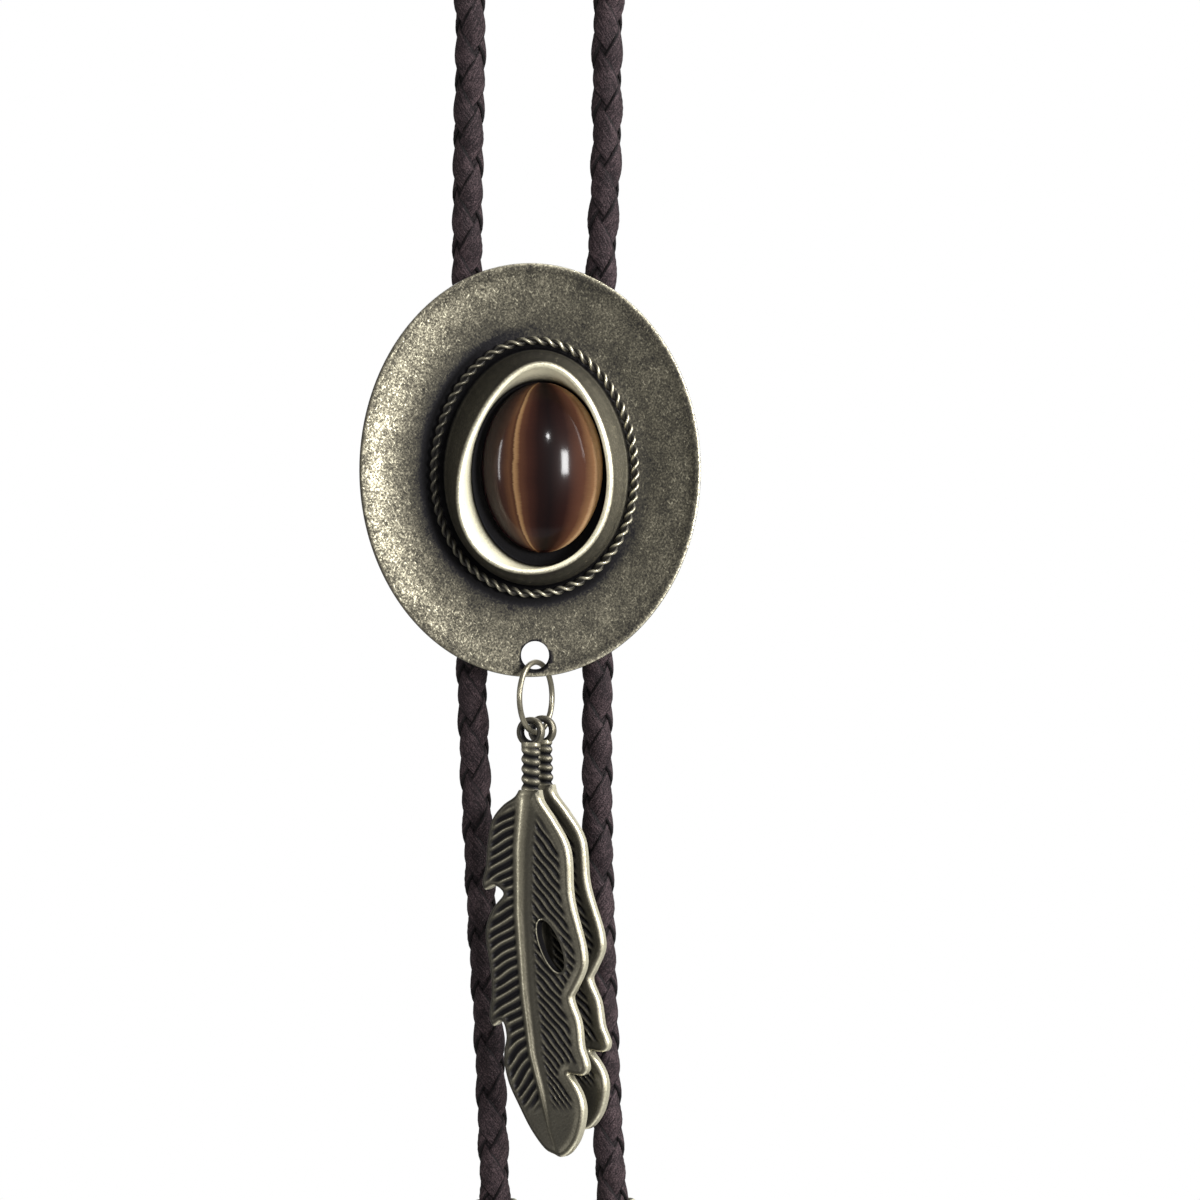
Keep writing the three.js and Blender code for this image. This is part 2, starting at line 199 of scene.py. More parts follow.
def oval(station: Array, angle: Array) -> Array:
    """Points of an oval that can taper and lean towards its top.

    Args:
        station: depth, half width, half height, centre x, centre z, lean and taper.
        angle: angles round the oval.

    Returns:
        The points.
    """
    y, a, b, x, z, lean, egg = station[:7]
    up = np.sin(angle)
    across = x + lean * up + a * np.cos(angle) * (1 - egg * up)
    return np.stack([across, np.full_like(up, y), z + b * up], axis=1)


def soft_step(value: Array, low: float, high: float) -> Array:
    """Goes smoothly from 0 at low to 1 at high."""
    share = np.clip((value - low) / (high - low), 0, 1)
    return share * share * (3 - 2 * share)


def bell(value: Array, middle: Array | float, width: Array | float) -> Array:
    """Rises smoothly to 1 at the middle and falls off at the width on both sides."""
    return np.exp(-(((value - middle) / width) ** 2))


def signed_power(value: Array, power: float) -> Array:
    """Raises the size of a value to a power and keeps its sign."""
    return np.sign(value) * np.abs(value) ** power


def circle(count: int) -> Array:
    """Gives the angles of evenly spaced points round a circle."""
    return np.linspace(0, FULL, count, endpoint=False)


def lathe(profile: Sequence[Sequence[float]], sides: int) -> Array:
    """Turns a profile about the Z axis.

    Args:
        profile: rows of radius and height.
        sides: points round it.

    Returns:
        Rings of points.
    """
    radius, height = np.array(profile, float)[:, :2, None].transpose(1, 0, 2)
    angle = circle(sides)
    rings = [radius * np.cos(angle), radius * np.sin(angle), np.broadcast_to(height, (len(profile), sides))]
    return np.stack(rings, axis=-1)


def facing_front(rings: Array) -> Array:
    """Lays what was turned about the Z axis about the depth axis."""
    return rings[..., (0, 2, 1)]


def ring_quads(rows: int, around: int, closed: bool = False) -> Array:
    """Numbers the faces between neighbouring rings of points.

    Args:
        rows: number of rings.
        around: points in each of them.
        closed: whether the last ring joins the first one.

    Returns:
        Four numbers of points for each face.
    """
    index = np.arange(rows * around).reshape(rows, around)
    if closed:
        index = np.vstack([index, index[:1]])
    turned = np.roll(index, -1, axis=1)
    return np.stack([index[:-1], turned[:-1], turned[1:], index[1:]], axis=-1).reshape(-1, 4)


def nearest(points: Array, line: Array) -> tuple[Array, Array]:
    """Finds how far flat points are from a line of close points.

    Args:
        points: the points.
        line: the line's points.

    Returns:
        Distances, and the numbers of the nearest points of the line.
    """
    distance = np.empty(len(points))
    which = np.empty(len(points), int)
    for start in range(0, len(points), NEAREST_BLOCK):
        block = slice(start, start + NEAREST_BLOCK)
        square = ((points[block, None] - line[None]) ** 2).sum(axis=-1)
        which[block] = square.argmin(axis=1)
        distance[block] = np.sqrt(square.min(axis=1))
    return distance, which


def inside(points: Array, line: Array) -> Array:
    """Tells which flat points lie inside a closed line.

    Args:
        points: the points.
        line: the line's points.

    Returns:
        True for each point inside.
    """
    x, y = points.T
    found = np.zeros(len(points), bool)
    for (x0, y0), (x1, y1) in zip(line, np.roll(line, -1, axis=0)):
        if y0 != y1:
            found ^= ((y0 > y) != (y1 > y)) & (x < (x1 - x0) * (y - y0) / (y1 - y0) + x0)
    return found


def mixed(base: Array | float, top: Array | float, share: Array) -> Array:
    """Goes from a base to what lies on top of it."""
    return base * (1 - share) + top * share


def place(name: str, data: bpy.types.ID) -> bpy.types.Object:
    """Makes an object and links it to the scene.

    Args:
        name: its name.
        data: its mesh, light or camera.

    Returns:
        The object.
    """
    made = bpy.data.objects.new(name, data)
    bpy.context.scene.collection.objects.link(made)
    return made


@dataclass
class Shell:
    """Points, faces, wear and polish of a piece while it is made."""

    points: list[Array] = field(default_factory=list)
    faces: list[tuple[int, ...]] = field(default_factory=list)
    wear: list[Array] = field(default_factory=list)
    polish: list[Array] = field(default_factory=list)
    count: int = 0

    def add(self, points: Array, faces: Sequence[Sequence[int]], wear: Array | float,
            polish: Array | float = 0.0) -> None:
        """Adds points and the faces between them.

        Args:
            points: the new points.
            faces: faces, whose numbers count from the first new point.
            wear: 0 for deep patina to 1 for bare bright metal, which on the hat, the rope and the feathers
                also holds painted light and shade, one value or one a point.
            polish: 0 for rough to 1 for smooth, one value or one a point; on brass a polish near 1 also turns
                the metal nearly non-metallic, so that a pale tone shows as a painted reflection.
        """
        points = np.asarray(points, float).reshape(-1, 3)
        self.points.append(points)
        self.wear.append(np.broadcast_to(np.asarray(wear, float).reshape(-1), (len(points),)))
        self.polish.append(np.broadcast_to(np.asarray(polish, float).reshape(-1), (len(points),)))
        shift = self.count
        self.faces.extend(tuple(i + shift for i in face) for face in faces)
        self.count += len(points)

    def add_rings(self, rings: Array, wear: Array | float, polish: Array | float = 0.0,
                  closed: bool = False) -> None:
        """Skins a row of rings and faces the skin outwards.

        Args:
            rings: rows of rings of points.
            wear: wear of the points.
            polish: polish of the points.
            closed: whether the last ring joins the first one.
        """
        rows, around = rings.shape[:2]
        quads = ring_quads(rows, around, closed)
        flat = rings.reshape(-1, 3)
        corner = (flat - flat.mean(axis=0))[quads]
        volume = np.einsum("ij,ij->", corner[:, 0], np.cross(corner[:, 1], corner[:, 2]))
        volume += np.einsum("ij,ij->", corner[:, 0], np.cross(corner[:, 2], corner[:, 3]))
        faces = [tuple(quad) for quad in quads.tolist()]
        if not closed:
            faces.append(tuple(range(around - 1, -1, -1)))
            faces.append(tuple(range((rows - 1) * around, rows * around)))
        if volume < 0:
            faces = [face[::-1] for face in faces]
        self.add(flat, faces, wear, polish)

    def move(self, matrix: Matrix) -> None:
        """Moves every point.

        Args:
            matrix: turn and shift, in millimetres.
        """
        turn = np.array(matrix.to_3x3())
        shift = np.array(matrix.translation)
        self.points = [points @ turn.T + shift for points in self.points]

    def build(self, name: str, material: bpy.types.Material,
              sharp: float = SHARP_ANGLE) -> bpy.types.Object:
        """Makes the mesh object.

        Args:
            name: the piece's name.
            material: its finish.
            sharp: angle in degrees above which an edge isn't shaded smooth.

        Returns:
            The object, in the scene.
        """
        mesh = bpy.data.meshes.new(name)
        places = np.vstack(self.points) * MM + np.array(MIDDLE)
        mesh.from_pydata(places.tolist(), [], self.faces)
        for label, values in (("wear", self.wear), ("polish", self.polish)):
            attribute = mesh.attributes.new(label, "FLOAT", "POINT")
            attribute.data.foreach_set("value", np.concatenate(values).astype(np.float32))
        mesh.shade_smooth()
        mesh.set_sharp_from_angle(angle=math.radians(sharp))
        mesh.materials.append(material)
        return place(name, mesh)


def fit(piece: bpy.types.Object, body: Body, slot: Slot, *nodes: str) -> bpy.types.Object:
    """Puts a finished piece on its body in the place of its CAD nodes.

    Args:
        piece: the object.
        body: the body that it rides on.
        slot: the record's material slot; not used.
        nodes: the CAD nodes that it stands for.

    Returns:
        The same object.
    """
    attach(piece, body.value)
    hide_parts(*nodes)
    return piece


class Graph:
    """A material's nodes, with short calls for those that the finishes use."""

    def __init__(self, name: str) -> None:
        """Starts a material.

        Args:
            name: the material's name.
        """
        self.material = bpy.data.materials.new(name)
        self.material.use_nodes = True
        self.tree = self.material.node_tree
        self.shader = self.tree.nodes["Principled BSDF"]
        self.place = self.vector("SCALE", self.node("ShaderNodeTexCoord").outputs["Object"], scale=1 / MM)

    def node(self, kind: str, inputs: dict | None = None, **settings: object) -> bpy.types.Node:
        """Adds a node.

        Args:
            kind: the node's type.
            inputs: values or outputs of other nodes for its inputs.
            settings: its properties.

        Returns:
            The node.
        """
        made = self.tree.nodes.new(kind)
        for key, value in settings.items():
            setattr(made, key, value)
        for key, value in (inputs or {}).items():
            self.plug(made.inputs[key], value)
        return made

    def plug(self, socket: bpy.types.NodeSocket, value: object) -> None:
        """Sets a socket, or links another node's output to it.

        Args:
            socket: the input.
            value: its value, or the output.
        """
        if isinstance(value, bpy.types.NodeSocket):
            self.tree.links.new(value, socket)
        else:
            socket.default_value = value

    def vector(self, operation: str, first: object, second: object = None,
               scale: float | None = None) -> bpy.types.NodeSocket:
        """Adds a sum of vectors.

        Args:
            operation: the kind of sum.
            first: a vector or an output.
            second: another one, where the sum takes two.
            scale: a factor, where the sum takes one.

        Returns:
            Its result.
        """
        inputs = {0: first}
        if second is not None:
            inputs[1] = second
        if scale is not None:
            inputs["Scale"] = scale
        return self.node("ShaderNodeVectorMath", inputs, operation=operation).outputs[0]

    def sum(self, operation: str, *values: object, clamp: bool = False) -> bpy.types.NodeSocket:
        """Adds a sum of numbers and gives its result."""
        inputs = dict(enumerate(values))
        return self.node("ShaderNodeMath", inputs, operation=operation, use_clamp=clamp).outputs[0]

    def noise(self, size: float, detail: float = 3, distortion: float = 0,
              stretch: Colour = (1, 1, 1), at: bpy.types.NodeSocket | None = None) -> bpy.types.NodeSocket:
        """Adds a noise.

        Args:
            size: size of its lumps in millimetres.
            detail: number of finer layers.
            distortion: how much it winds.
            stretch: scale along each axis.
            at: where it is read, if not at the place on the piece.

        Returns:
            Its value, 0.5 in the mean.
        """
        stretched = self.vector("MULTIPLY", at or self.place, stretch)
        inputs = {"Vector": stretched, "Scale": 1 / size, "Detail": detail, "Distortion": distortion}
        return self.node("ShaderNodeTexNoise", inputs).outputs["Fac"]

    def turned(self, tilt: float) -> bpy.types.NodeSocket:
        """Gives the place turned about the depth axis by an angle in radians."""
        inputs = {"Vector": self.place, "Angle": tilt}
        return self.node("ShaderNodeVectorRotate", inputs, rotation_type="Y_AXIS").outputs[0]

    def swing(self, value: bpy.types.NodeSocket, amount: object) -> bpy.types.NodeSocket:
        """Turns a noise about 0 and gives it an amount."""
        return self.sum("MULTIPLY", self.sum("SUBTRACT", value, NOISE_MEAN), amount)

    def attribute(self, name: str) -> bpy.types.NodeSocket:
        """Reads one of the mesh's own values."""
        return self.node("ShaderNodeAttribute", attribute_name=name).outputs["Fac"]

    def ramp(self, value: bpy.types.NodeSocket,
             stops: Sequence[tuple[float, Colour]]) -> bpy.types.NodeSocket:
        """Adds a colour ramp.

        Args:
            value: what it reads.
            stops: places and colours, in order.

        Returns:
            Its colour.
        """
        made = self.node("ShaderNodeValToRGB", {"Fac": value})
        elements = made.color_ramp.elements
        while len(elements) < len(stops):
            elements.new(RAMP_MIDDLE)
        for element, (at, colour) in zip(elements, stops):
            element.position = at
            element.color = (*colour, 1)
        return made.outputs["Color"]

    def span(self, value: bpy.types.NodeSocket, low: float, high: float, to_low: float,
             to_high: float) -> bpy.types.NodeSocket:
        """Maps one range of values to another and keeps the result inside it.

        Args:
            value: what is mapped.
            low: start of the first range.
            high: end of the first range.
            to_low: what its start becomes.
            to_high: what its end becomes.

        Returns:
            The mapped value.
        """
        inputs = {"Value": value, "From Min": low, "From Max": high, "To Min": to_low,
                  "To Max": to_high}
        return self.node("ShaderNodeMapRange", inputs).outputs["Result"]

    def bump(self, height: bpy.types.NodeSocket, depth: float) -> None:
        """Raises the surface by a height.

        Args:
            height: values about 0 to 1.
            depth: millimetres for a value of 1.
        """
        inputs = {"Height": height, "Distance": depth * MM, "Strength": 1.0}
        self.plug(self.shader.inputs["Normal"], self.node("ShaderNodeBump", inputs).outputs[0])

    def shade(self, **values: object) -> bpy.types.Material:
        """Sets inputs of the shader, named with underscores for spaces.

        Returns:
            The material.
        """
        for key, value in values.items():
            self.plug(self.shader.inputs[key.replace("_", " ")], value)
        return self.material


@dataclass(frozen=True)
class AntiqueBrass:
    """Cast brass with dark patina in its hollows, mottled flats and bright worn edges.

    Sizes are millimetres, and amounts are shares of the tone from patina to bare metal.
    """

    name: str
    mottle: float = 0.36
    mottle_size: float = 2.6
    mottle_winding: float = 0.6
    speckle: float = 0.92
    speckle_size: float = 0.24
    speckle_winding: float = 0.4
    layers: int = 4
    marks_on_wear: float = 2.0
    marks_off_polish: float = 0.75
    flecks: float = 0.28
    scratch_size: float = 0.2
    scratch_winding: float = 0.8
    scratch_layers: int = 2
    scratch: Colour = (1.5, 1, 0.3)
    scratch_band: tuple[float, float] = (0.6, 0.72)
    scratch_tilts: tuple[float, float] = (0.65, -0.4)
    grain: float = 0.03
    grain_size: float = 0.3
    # Where the polish nears 1 the brass turns nearly non-metallic, so that its pale worn tone shows as a
    # painted reflection.
    metallic: float = 0.72
    reflection_painted_metallic: float = 0.08
    reflection_painted_from: float = 0.75
    rough: float = 0.56
    rough_tone: float = 0.1
    patina_rougher: float = 0.1
    metal_finer: float = 0.12
    smooth: float = 0.3
    specular: float = 0.15
    stops: tuple[tuple[float, Colour], ...] = (
        (0.0, (0.004, 0.0037, 0.0042)),
        (0.22, (0.018, 0.0172, 0.019)),
        (0.45, (0.074, 0.068, 0.052)),
        (0.66, (0.195, 0.178, 0.132)),
        (0.84, (0.50, 0.465, 0.345)),
        (1.0, (0.93, 0.88, 0.66)),
    )

    def marks(self, graph: Graph, wear: bpy.types.NodeSocket,
              polish: bpy.types.NodeSocket) -> bpy.types.NodeSocket:
        """Adds up mottle, speckle and crossing scratches, which fade on patina and on polish.

        Args:
            graph: the material.
            wear: the mesh's wear.
            polish: the mesh's polish.

        Returns:
            What they add to the tone.
        """
        mottle = graph.noise(self.mottle_size, self.layers, self.mottle_winding)
        speckle = graph.noise(self.speckle_size, self.layers, self.speckle_winding)
        mottle, speckle = graph.swing(mottle, self.mottle), graph.swing(speckle, self.speckle)
        lines = [graph.noise(self.scratch_size, self.scratch_layers, self.scratch_winding, self.scratch,
                             graph.turned(tilt)) for tilt in self.scratch_tilts]
        line = graph.span(graph.sum("MAXIMUM", *lines), *self.scratch_band, 0, 1)
        marks = graph.sum("ADD", graph.sum("ADD", mottle, speckle), graph.sum("MULTIPLY", line, self.flecks))
        plain = graph.sum("SUBTRACT", 1.0, graph.sum("MULTIPLY", polish, self.marks_off_polish))
        strength = graph.sum("MULTIPLY", wear, self.marks_on_wear)
        return graph.sum("MULTIPLY", marks, graph.sum("MULTIPLY", plain, strength))

    def material(self) -> bpy.types.Material:
        """Builds the finish.

        Returns:
            The material, which reads the mesh's wear and polish.
        """
        graph = Graph(self.name)
        wear, polish = graph.attribute("wear"), graph.attribute("polish")
        tone = graph.sum("ADD", wear, self.marks(graph, wear, polish), clamp=True)
        rougher, finer = self.rough + self.patina_rougher, self.rough - self.metal_finer
        rough = graph.span(tone, self.rough_tone, 1, rougher, finer)
        roughness = graph.sum("ADD", rough, graph.sum("MULTIPLY", polish, self.smooth - self.rough))
        metallic = graph.span(polish, self.reflection_painted_from, 1, self.metallic, self.reflection_painted_metallic)
        graph.bump(graph.noise(self.grain_size, self.layers), self.grain)
        return graph.shade(Base_Color=graph.ramp(tone, self.stops), Roughness=roughness,
                           Metallic=metallic, Specular_IOR_Level=self.specular)


@dataclass(frozen=True)
class BraidedLeather:
    """Flat strands of dark brown leather with a fine lengthwise grain."""

    name: str
    dark: Colour = (0.0016, 0.0010, 0.0012)
    middle: Colour = (0.0130, 0.0076, 0.0092)
    light: Colour = (0.085, 0.057, 0.061)
    middle_tone: float = 0.5
    grain_size: float = 0.16
    grain_layers: int = 4
    grain_winding: float = 0.5
    grain: float = 1.5
    patch_size: float = 2.4
    patch_layers: int = 2
    patch: float = 0.5
    fibre_size: float = 0.3
    fibre_layers: int = 3
    fibre_winding: float = 0.3
    fibre: float = 1.0
    stretch: Colour = (1.6, 1, 0.22)
    depth: float = 0.15
    roughness: float = 0.7
    specular: float = 0.2

    def material(self) -> bpy.types.Material:
        """Builds the finish.

        Returns:
            The material, which is darker at the strands' borders.
        """
        graph = Graph(self.name)
        grain = graph.noise(self.grain_size, self.grain_layers, self.grain_winding)
        patch = graph.noise(self.patch_size, self.patch_layers)
        height = graph.node("ShaderNodeSeparateXYZ", {0: graph.place}).outputs["Z"]
        lane = graph.node("ShaderNodeCombineXYZ", {"X": graph.attribute("polish"), "Z": height}).outputs[0]
        fibre = graph.noise(self.fibre_size, self.fibre_layers, self.fibre_winding, self.stretch, lane)
        tone = graph.sum("ADD", graph.swing(grain, self.grain), graph.swing(patch, self.patch))
        tone = graph.sum("ADD", graph.attribute("wear"), tone)
        tone = graph.sum("ADD", tone, graph.swing(fibre, self.fibre), clamp=True)
        colour = graph.ramp(tone, ((0.0, self.dark), (self.middle_tone, self.middle), (1.0, self.light)))
        graph.bump(graph.sum("ADD", grain, fibre), self.depth)
        return graph.shade(Base_Color=colour, Roughness=self.roughness, Specular_IOR_Level=self.specular)


@dataclass(frozen=True)
class TigerEye:
    """A red-brown cat's-eye cabochon under a polish: a silky dark ground with a painted golden sheen line and
    a painted glow towards its right edge.
    """

    name: str
    silk_size: float = 0.5
    silk_layers: int = 3
    silk_winding: float = 0.2
    silk_stretch: Colour = (0.25, 1, 3.0)
    silk: float = 0.02
    cloud_size: float = 4.0
    cloud_layers: int = 2
    cloud: float = 0.05
    roughness: float = 0.4
    ior: float = 1.54
    coat: float = 0.3
    coat_roughness: float = 0.11
    specular: float = 0.04
    # Colours across the stone: a dark red-brown ground, a painted cat's-eye sheen line about a quarter
    # across, and a painted glow towards the right edge.
    stops: tuple[tuple[float, Colour], ...] = (
        (0.0, (0.006, 0.0018, 0.003)),
        (0.09, (0.010, 0.0028, 0.003)),
        (0.17, (0.030, 0.011, 0.007)),
        (0.225, (0.078, 0.034, 0.016)),
        (0.252, (0.045, 0.017, 0.009)),
        (0.268, (0.25, 0.145, 0.068)),
        (0.286, (0.20, 0.110, 0.050)),
        (0.31, (0.070, 0.028, 0.015)),
        (0.38, (0.030, 0.010, 0.0065)),
        (0.47, (0.009, 0.0028, 0.0024)),
        (0.57, (0.0045, 0.0014, 0.0015)),
        (0.72, (0.015, 0.0042, 0.0030)),
        (0.86, (0.080, 0.031, 0.018)),
        (0.93, (0.24, 0.125, 0.062)),
        (0.975, (0.66, 0.44, 0.25)),
    )

    def material(self) -> bpy.types.Material:
        """Builds the finish.

        Returns:
            The material, whose wear is the place across the stone, from 0 to 1.
        """
        graph = Graph(self.name)
        silk = graph.noise(self.silk_size, self.silk_layers, self.silk_winding, self.silk_stretch)
        cloud = graph.noise(self.cloud_size, self.cloud_layers)
        silk, cloud = graph.swing(silk, self.silk), graph.swing(cloud, self.cloud)
        across = graph.sum("ADD", graph.attribute("wear"), graph.sum("ADD", silk, cloud))
        return graph.shade(Base_Color=graph.ramp(across, self.stops), Roughness=self.roughness, IOR=self.ior,
                           Coat_Weight=self.coat, Coat_Roughness=self.coat_roughness,
                           Specular_IOR_Level=self.specular)


@dataclass(frozen=True)
class Lamp:
    """A rectangular soft light that points at the slide.

    Its azimuth is in degrees to the right of the camera and its elevation in degrees above the
    horizon. Its distance and size are in metres and its power in watts.
    """

    name: str
    azimuth: float
    elevation: float
    distance: float
    size: tuple[float, float]
    power: float

    def hang(self) -> None:
        """Adds the light to the scene."""
        light = bpy.data.lights.new(self.name, "AREA")
        light.shape = "RECTANGLE"
        light.size, light.size_y = self.size
        light.energy = self.power
        side, up = math.radians(self.azimuth), math.radians(self.elevation)
        way = Vector((math.sin(side) * math.cos(up), -math.cos(side) * math.cos(up), math.sin(up)))
        holder = place(self.name, light)
        holder.location = MIDDLE + way * self.distance
        holder.rotation_euler = (-way).to_track_quat("-Z", "Y").to_euler()


@dataclass
class Studio:
    """The camera of the photograph, its lights and the floor."""

    centre_x: float = 8.48
    centre_z: float = -15.76
    distance: float = 700.0
    field: float = 145.45
    sensor: float = 36.0
    clip_start: float = 0.01
    fill: float = 0.26
    backdrop: float = 1.0
    floor_drop: float = 1.0
    floor_radius: float = 1.1
    floor_sides: int = 96
    floor_tones: tuple[float, float] = (0.86, 0.92)
    floor_cloud: float = 400.0
    floor_roughness: float = 0.9
    lamps: tuple[Lamp, ...] = (
        Lamp("key", 27, 4, 1.0, (0.15, 0.24), 8),
        Lamp("side", 75, 32, 1.1, (0.8, 1.0), 26),
        Lamp("spark", 7, 20, 1.2, (0.05, 0.05), 1.3),
        Lamp("left", -62, 6, 1.2, (0.06, 0.5), 3.2),
        Lamp("back", 180, 30, 1.3, (0.9, 0.9), 4),
    )

    def place_camera(self) -> None:
        """Makes the camera and looks straight at the front of the tie."""
        camera = bpy.data.cameras.new("camera")
        camera.sensor_width = self.sensor
        camera.lens = self.sensor * self.distance / self.field
        camera.clip_start = self.clip_start
        holder = place("camera", camera)
        holder.location = MIDDLE + Vector((self.centre_x, -self.distance, self.centre_z)) * MM
        holder.rotation_euler = (math.pi / 2, 0, 0)
        bpy.context.scene.camera = holder

    def light(self) -> None:
        """Hangs the lamps and lights the world, which looks white and fills the shadows less."""
        for lamp in self.lamps:
            lamp.hang()
        world = bpy.data.worlds.new("studio")
        world.use_nodes = True
        nodes, links = world.node_tree.nodes, world.node_tree.links
        background = nodes["Background"]
        background.inputs["Color"].default_value = (1.0, 1.0, 1.0, 1)
        strength = nodes.new("ShaderNodeMapRange")
        strength.inputs["To Min"].default_value = self.fill
        strength.inputs["To Max"].default_value = self.backdrop
        links.new(nodes.new("ShaderNodeLightPath").outputs["Is Camera Ray"], strength.inputs["Value"])
        links.new(strength.outputs["Result"], background.inputs["Strength"])
        bpy.context.scene.world = world
        bpy.context.scene.view_settings.view_transform = "Standard"

    def lay_floor(self) -> None:
        """Lays a pale round floor below the tie."""
        low, _ = CAD_BOX
        rim = lathe([(self.floor_radius, low.z - self.floor_drop)], self.floor_sides)[0]
        mesh = bpy.data.meshes.new("floor")
        mesh.from_pydata(rim.tolist(), [], [tuple(range(self.floor_sides))])
        graph = Graph("floor")
        stops = [(at, (tone, tone, tone)) for at, tone in enumerate(self.floor_tones)]
        tint = graph.ramp(graph.noise(self.floor_cloud, detail=1), stops)
        mesh.materials.append(graph.shade(Base_Color=tint, Roughness=self.floor_roughness))
        place("floor", mesh)


@dataclass
class BraidedCord:
    """A round braid of four flat strands along a route."""

    name: str
    node: str
    route: Sequence[Sequence[float]]
    turn_start: float
    turn_end: float
    phase: float = 0.0
    lead: float = 13.543
    middle_r: float = 1.33
    weave: float = 0.3
    half_width: float = 1.72
    crown: float = 0.35
    inside: float = 0.3
    sway: float = 0.15
    core_r: float = 1.32
    core_sides: int = 12
    core_wear: float = 0.4
    step: float = 0.55
    top_points: int = 11
    below: tuple[float, ...] = (0.7, 0.0, -0.7)
    squareness: float = 3.2
    flat_wear: float = 0.57
    border_lift: float = 0.1
    border_drop: float = 0.67
    border: tuple[float, float] = (0.8, 0.96)
    lane_step: float = 3.0
    # The way that each strand winds, and the angle at which it starts
    strands: tuple[tuple[int, float], ...] = ((1, 0.0), (1, math.pi), (-1, 0.0), (-1, math.pi))

    def centreline(self) -> Array:
        """Points along the middle of the cord."""
        return smooth_curve(self.route, self.step)

    def section(self) -> tuple[Array, Array, Array]:
        """Works out the outline of a strand.

        Returns:
            Distances across the strand, heights, and tones: a little paler towards the borders, dark at their
            very edge and below.
        """
        across = np.sin(np.linspace(-1, 1, self.top_points) * math.pi / 2)
        aside = np.abs(across)
        height = self.crown * (1 - aside**self.squareness) ** (1 / self.squareness)
        wear = self.flat_wear + self.border_lift * aside**3
        wear = wear - self.border_drop * soft_step(aside, *self.border)
        hidden = np.zeros(len(self.below))
        across = np.concatenate([across, self.below]) * self.half_width
        return across, np.concatenate([height, hidden - self.inside]), np.concatenate([wear, hidden])

    def strand(self, path: Array, fronts: Array, sides: Array, hand: int, start: float) -> Array:
        """Lays one strand round the cord.

        Args:
            path: the cord's middle line.
            fronts: cross directions towards the viewer.
            sides: cross directions square to them.
            hand: 1 or -1, the way it winds.
            start: angle at which it starts.

        Returns:
            Rings of points.
        """
        run = run_length(path)
        across, height, _ = self.section()
        wind = FULL * (run + self.phase) / self.lead
        turn = np.radians(self.turn_start + (self.turn_end - self.turn_start) * run / run[-1])
        slope = math.atan(FULL * (self.middle_r + self.weave) / self.lead)
        angle = turn + start + hand * wind - self.sway * np.sin(2 * wind)
        angle = angle[:, None] + across * math.cos(slope) / (self.middle_r + self.weave)
        along = np.clip(run[:, None] - hand * across * math.sin(slope), 0, run[-1])
        radius = self.middle_r + hand * self.weave * np.cos(2 * wind)[:, None] + height
        fields = [np.stack([np.interp(along, run, column) for column in rows.T], axis=-1)
                  for rows in (path, fronts, sides)]
        middle, front, side = fields
        outward = front * np.cos(angle)[..., None] + side * np.sin(angle)[..., None]
        return middle + radius[..., None] * outward

    def build(self, material: bpy.types.Material, pieces: Sequence[bpy.types.Object],
              far_end: str) -> bpy.types.Object:
        """Args:
            material: the leather.
            pieces: what is on the cord's end; not used.
            far_end: what the cord ends in; not used.

        Returns:
            The cord.
        """
        path = self.centreline()
        fronts, sides = frames_along(path)
        shell = Shell()
        across, _, wear = self.section()
        for number, (hand, start) in enumerate(self.strands):
            rings = self.strand(path, fronts, sides, hand, start)
            lane = across + self.lane_step * self.half_width * number
            shell.add_rings(rings, np.tile(wear, len(path)), np.tile(lane, len(path)))
        angle = circle(self.core_sides)[None, :, None]
        around = fronts[:, None] * np.cos(angle) + sides[:, None] * np.sin(angle)
        shell.add_rings(path[:, None] + around * self.core_r, self.core_wear)
        cord = fit(shell.build(self.name, material, ROUND_ANGLE), Body.SLIDE, Slot.LEATHER, self.node)
        return cord


@dataclass
class Tip:
    """A plain metal cup with a rolled mouth over the end of a cord."""

    name: str
    node: str
    end: Sequence[float]
    before: Sequence[float]
    depth: float = 5.5
    gap: float = 0.3
    sides: int = 40
    step: float = 0.3
    polish: float = 0.6
    # Radius, distance down and wear
    profile: tuple[tuple[float, float, float], ...] = (
        (0.05, 5.5, 0.1), (2.2, 5.5, 0.1), (2.3, 5.3, 0.1), (2.3, 0.3, 0.3), (2.38, 0.06, 0.8),
        (2.55, 0.0, 1.0), (2.73, 0.12, 0.95), (2.75, 0.4, 0.85), (2.75, 1.1, 0.8), (2.71, 1.35, 0.5),
        (2.61, 1.5, 0.3), (2.61, 1.75, 0.3), (2.71, 1.9, 0.55), (2.75, 2.2, 0.75), (2.75, 7.26, 0.72),
        (2.709, 7.92, 0.72), (2.53, 9.24, 0.7), (2.145, 14.52, 0.7), (1.733, 19.8, 0.74),
        (1.375, 21.23, 0.8), (0.825, 21.846, 0.85), (0.02, 22.0, 0.85),
    )

    def build(self, material: bpy.types.Material) -> bpy.types.Object:
        """Turns the tip and sets it on its cord.

        Args:
            material: its metal.

        Returns:
            The tip.
        """
        end = Vector(self.end)
        away = (end - Vector(self.before)).normalized()
        rows = smooth_curve(self.profile, self.step, keys=2)
        rings = lathe(rows[:, :2] * (1, -1), self.sides)
        shell = Shell()
        shell.add_rings(rings, np.repeat(rows[:, 2], self.sides), self.polish)
        turn = Vector((0, 0, -1)).rotation_difference(away).to_matrix().to_4x4()
        shell.move(Matrix.Translation(end + away * (self.gap - self.depth)) @ turn)
        return fit(shell.build(self.name, material), Body.SLIDE, Slot.WIRE, self.node)


@dataclass(frozen=True)
class Tint:
    """A change of wear on one side of a ring, which dies away towards its other side."""

    amount: float
    towards: float
    power: float = 1.0

    def at(self, angle: Array) -> Array:
        """Gives the change at angles round the ring."""
        return self.amount * np.clip(np.cos(angle - math.radians(self.towards)), 0, 1) ** self.power


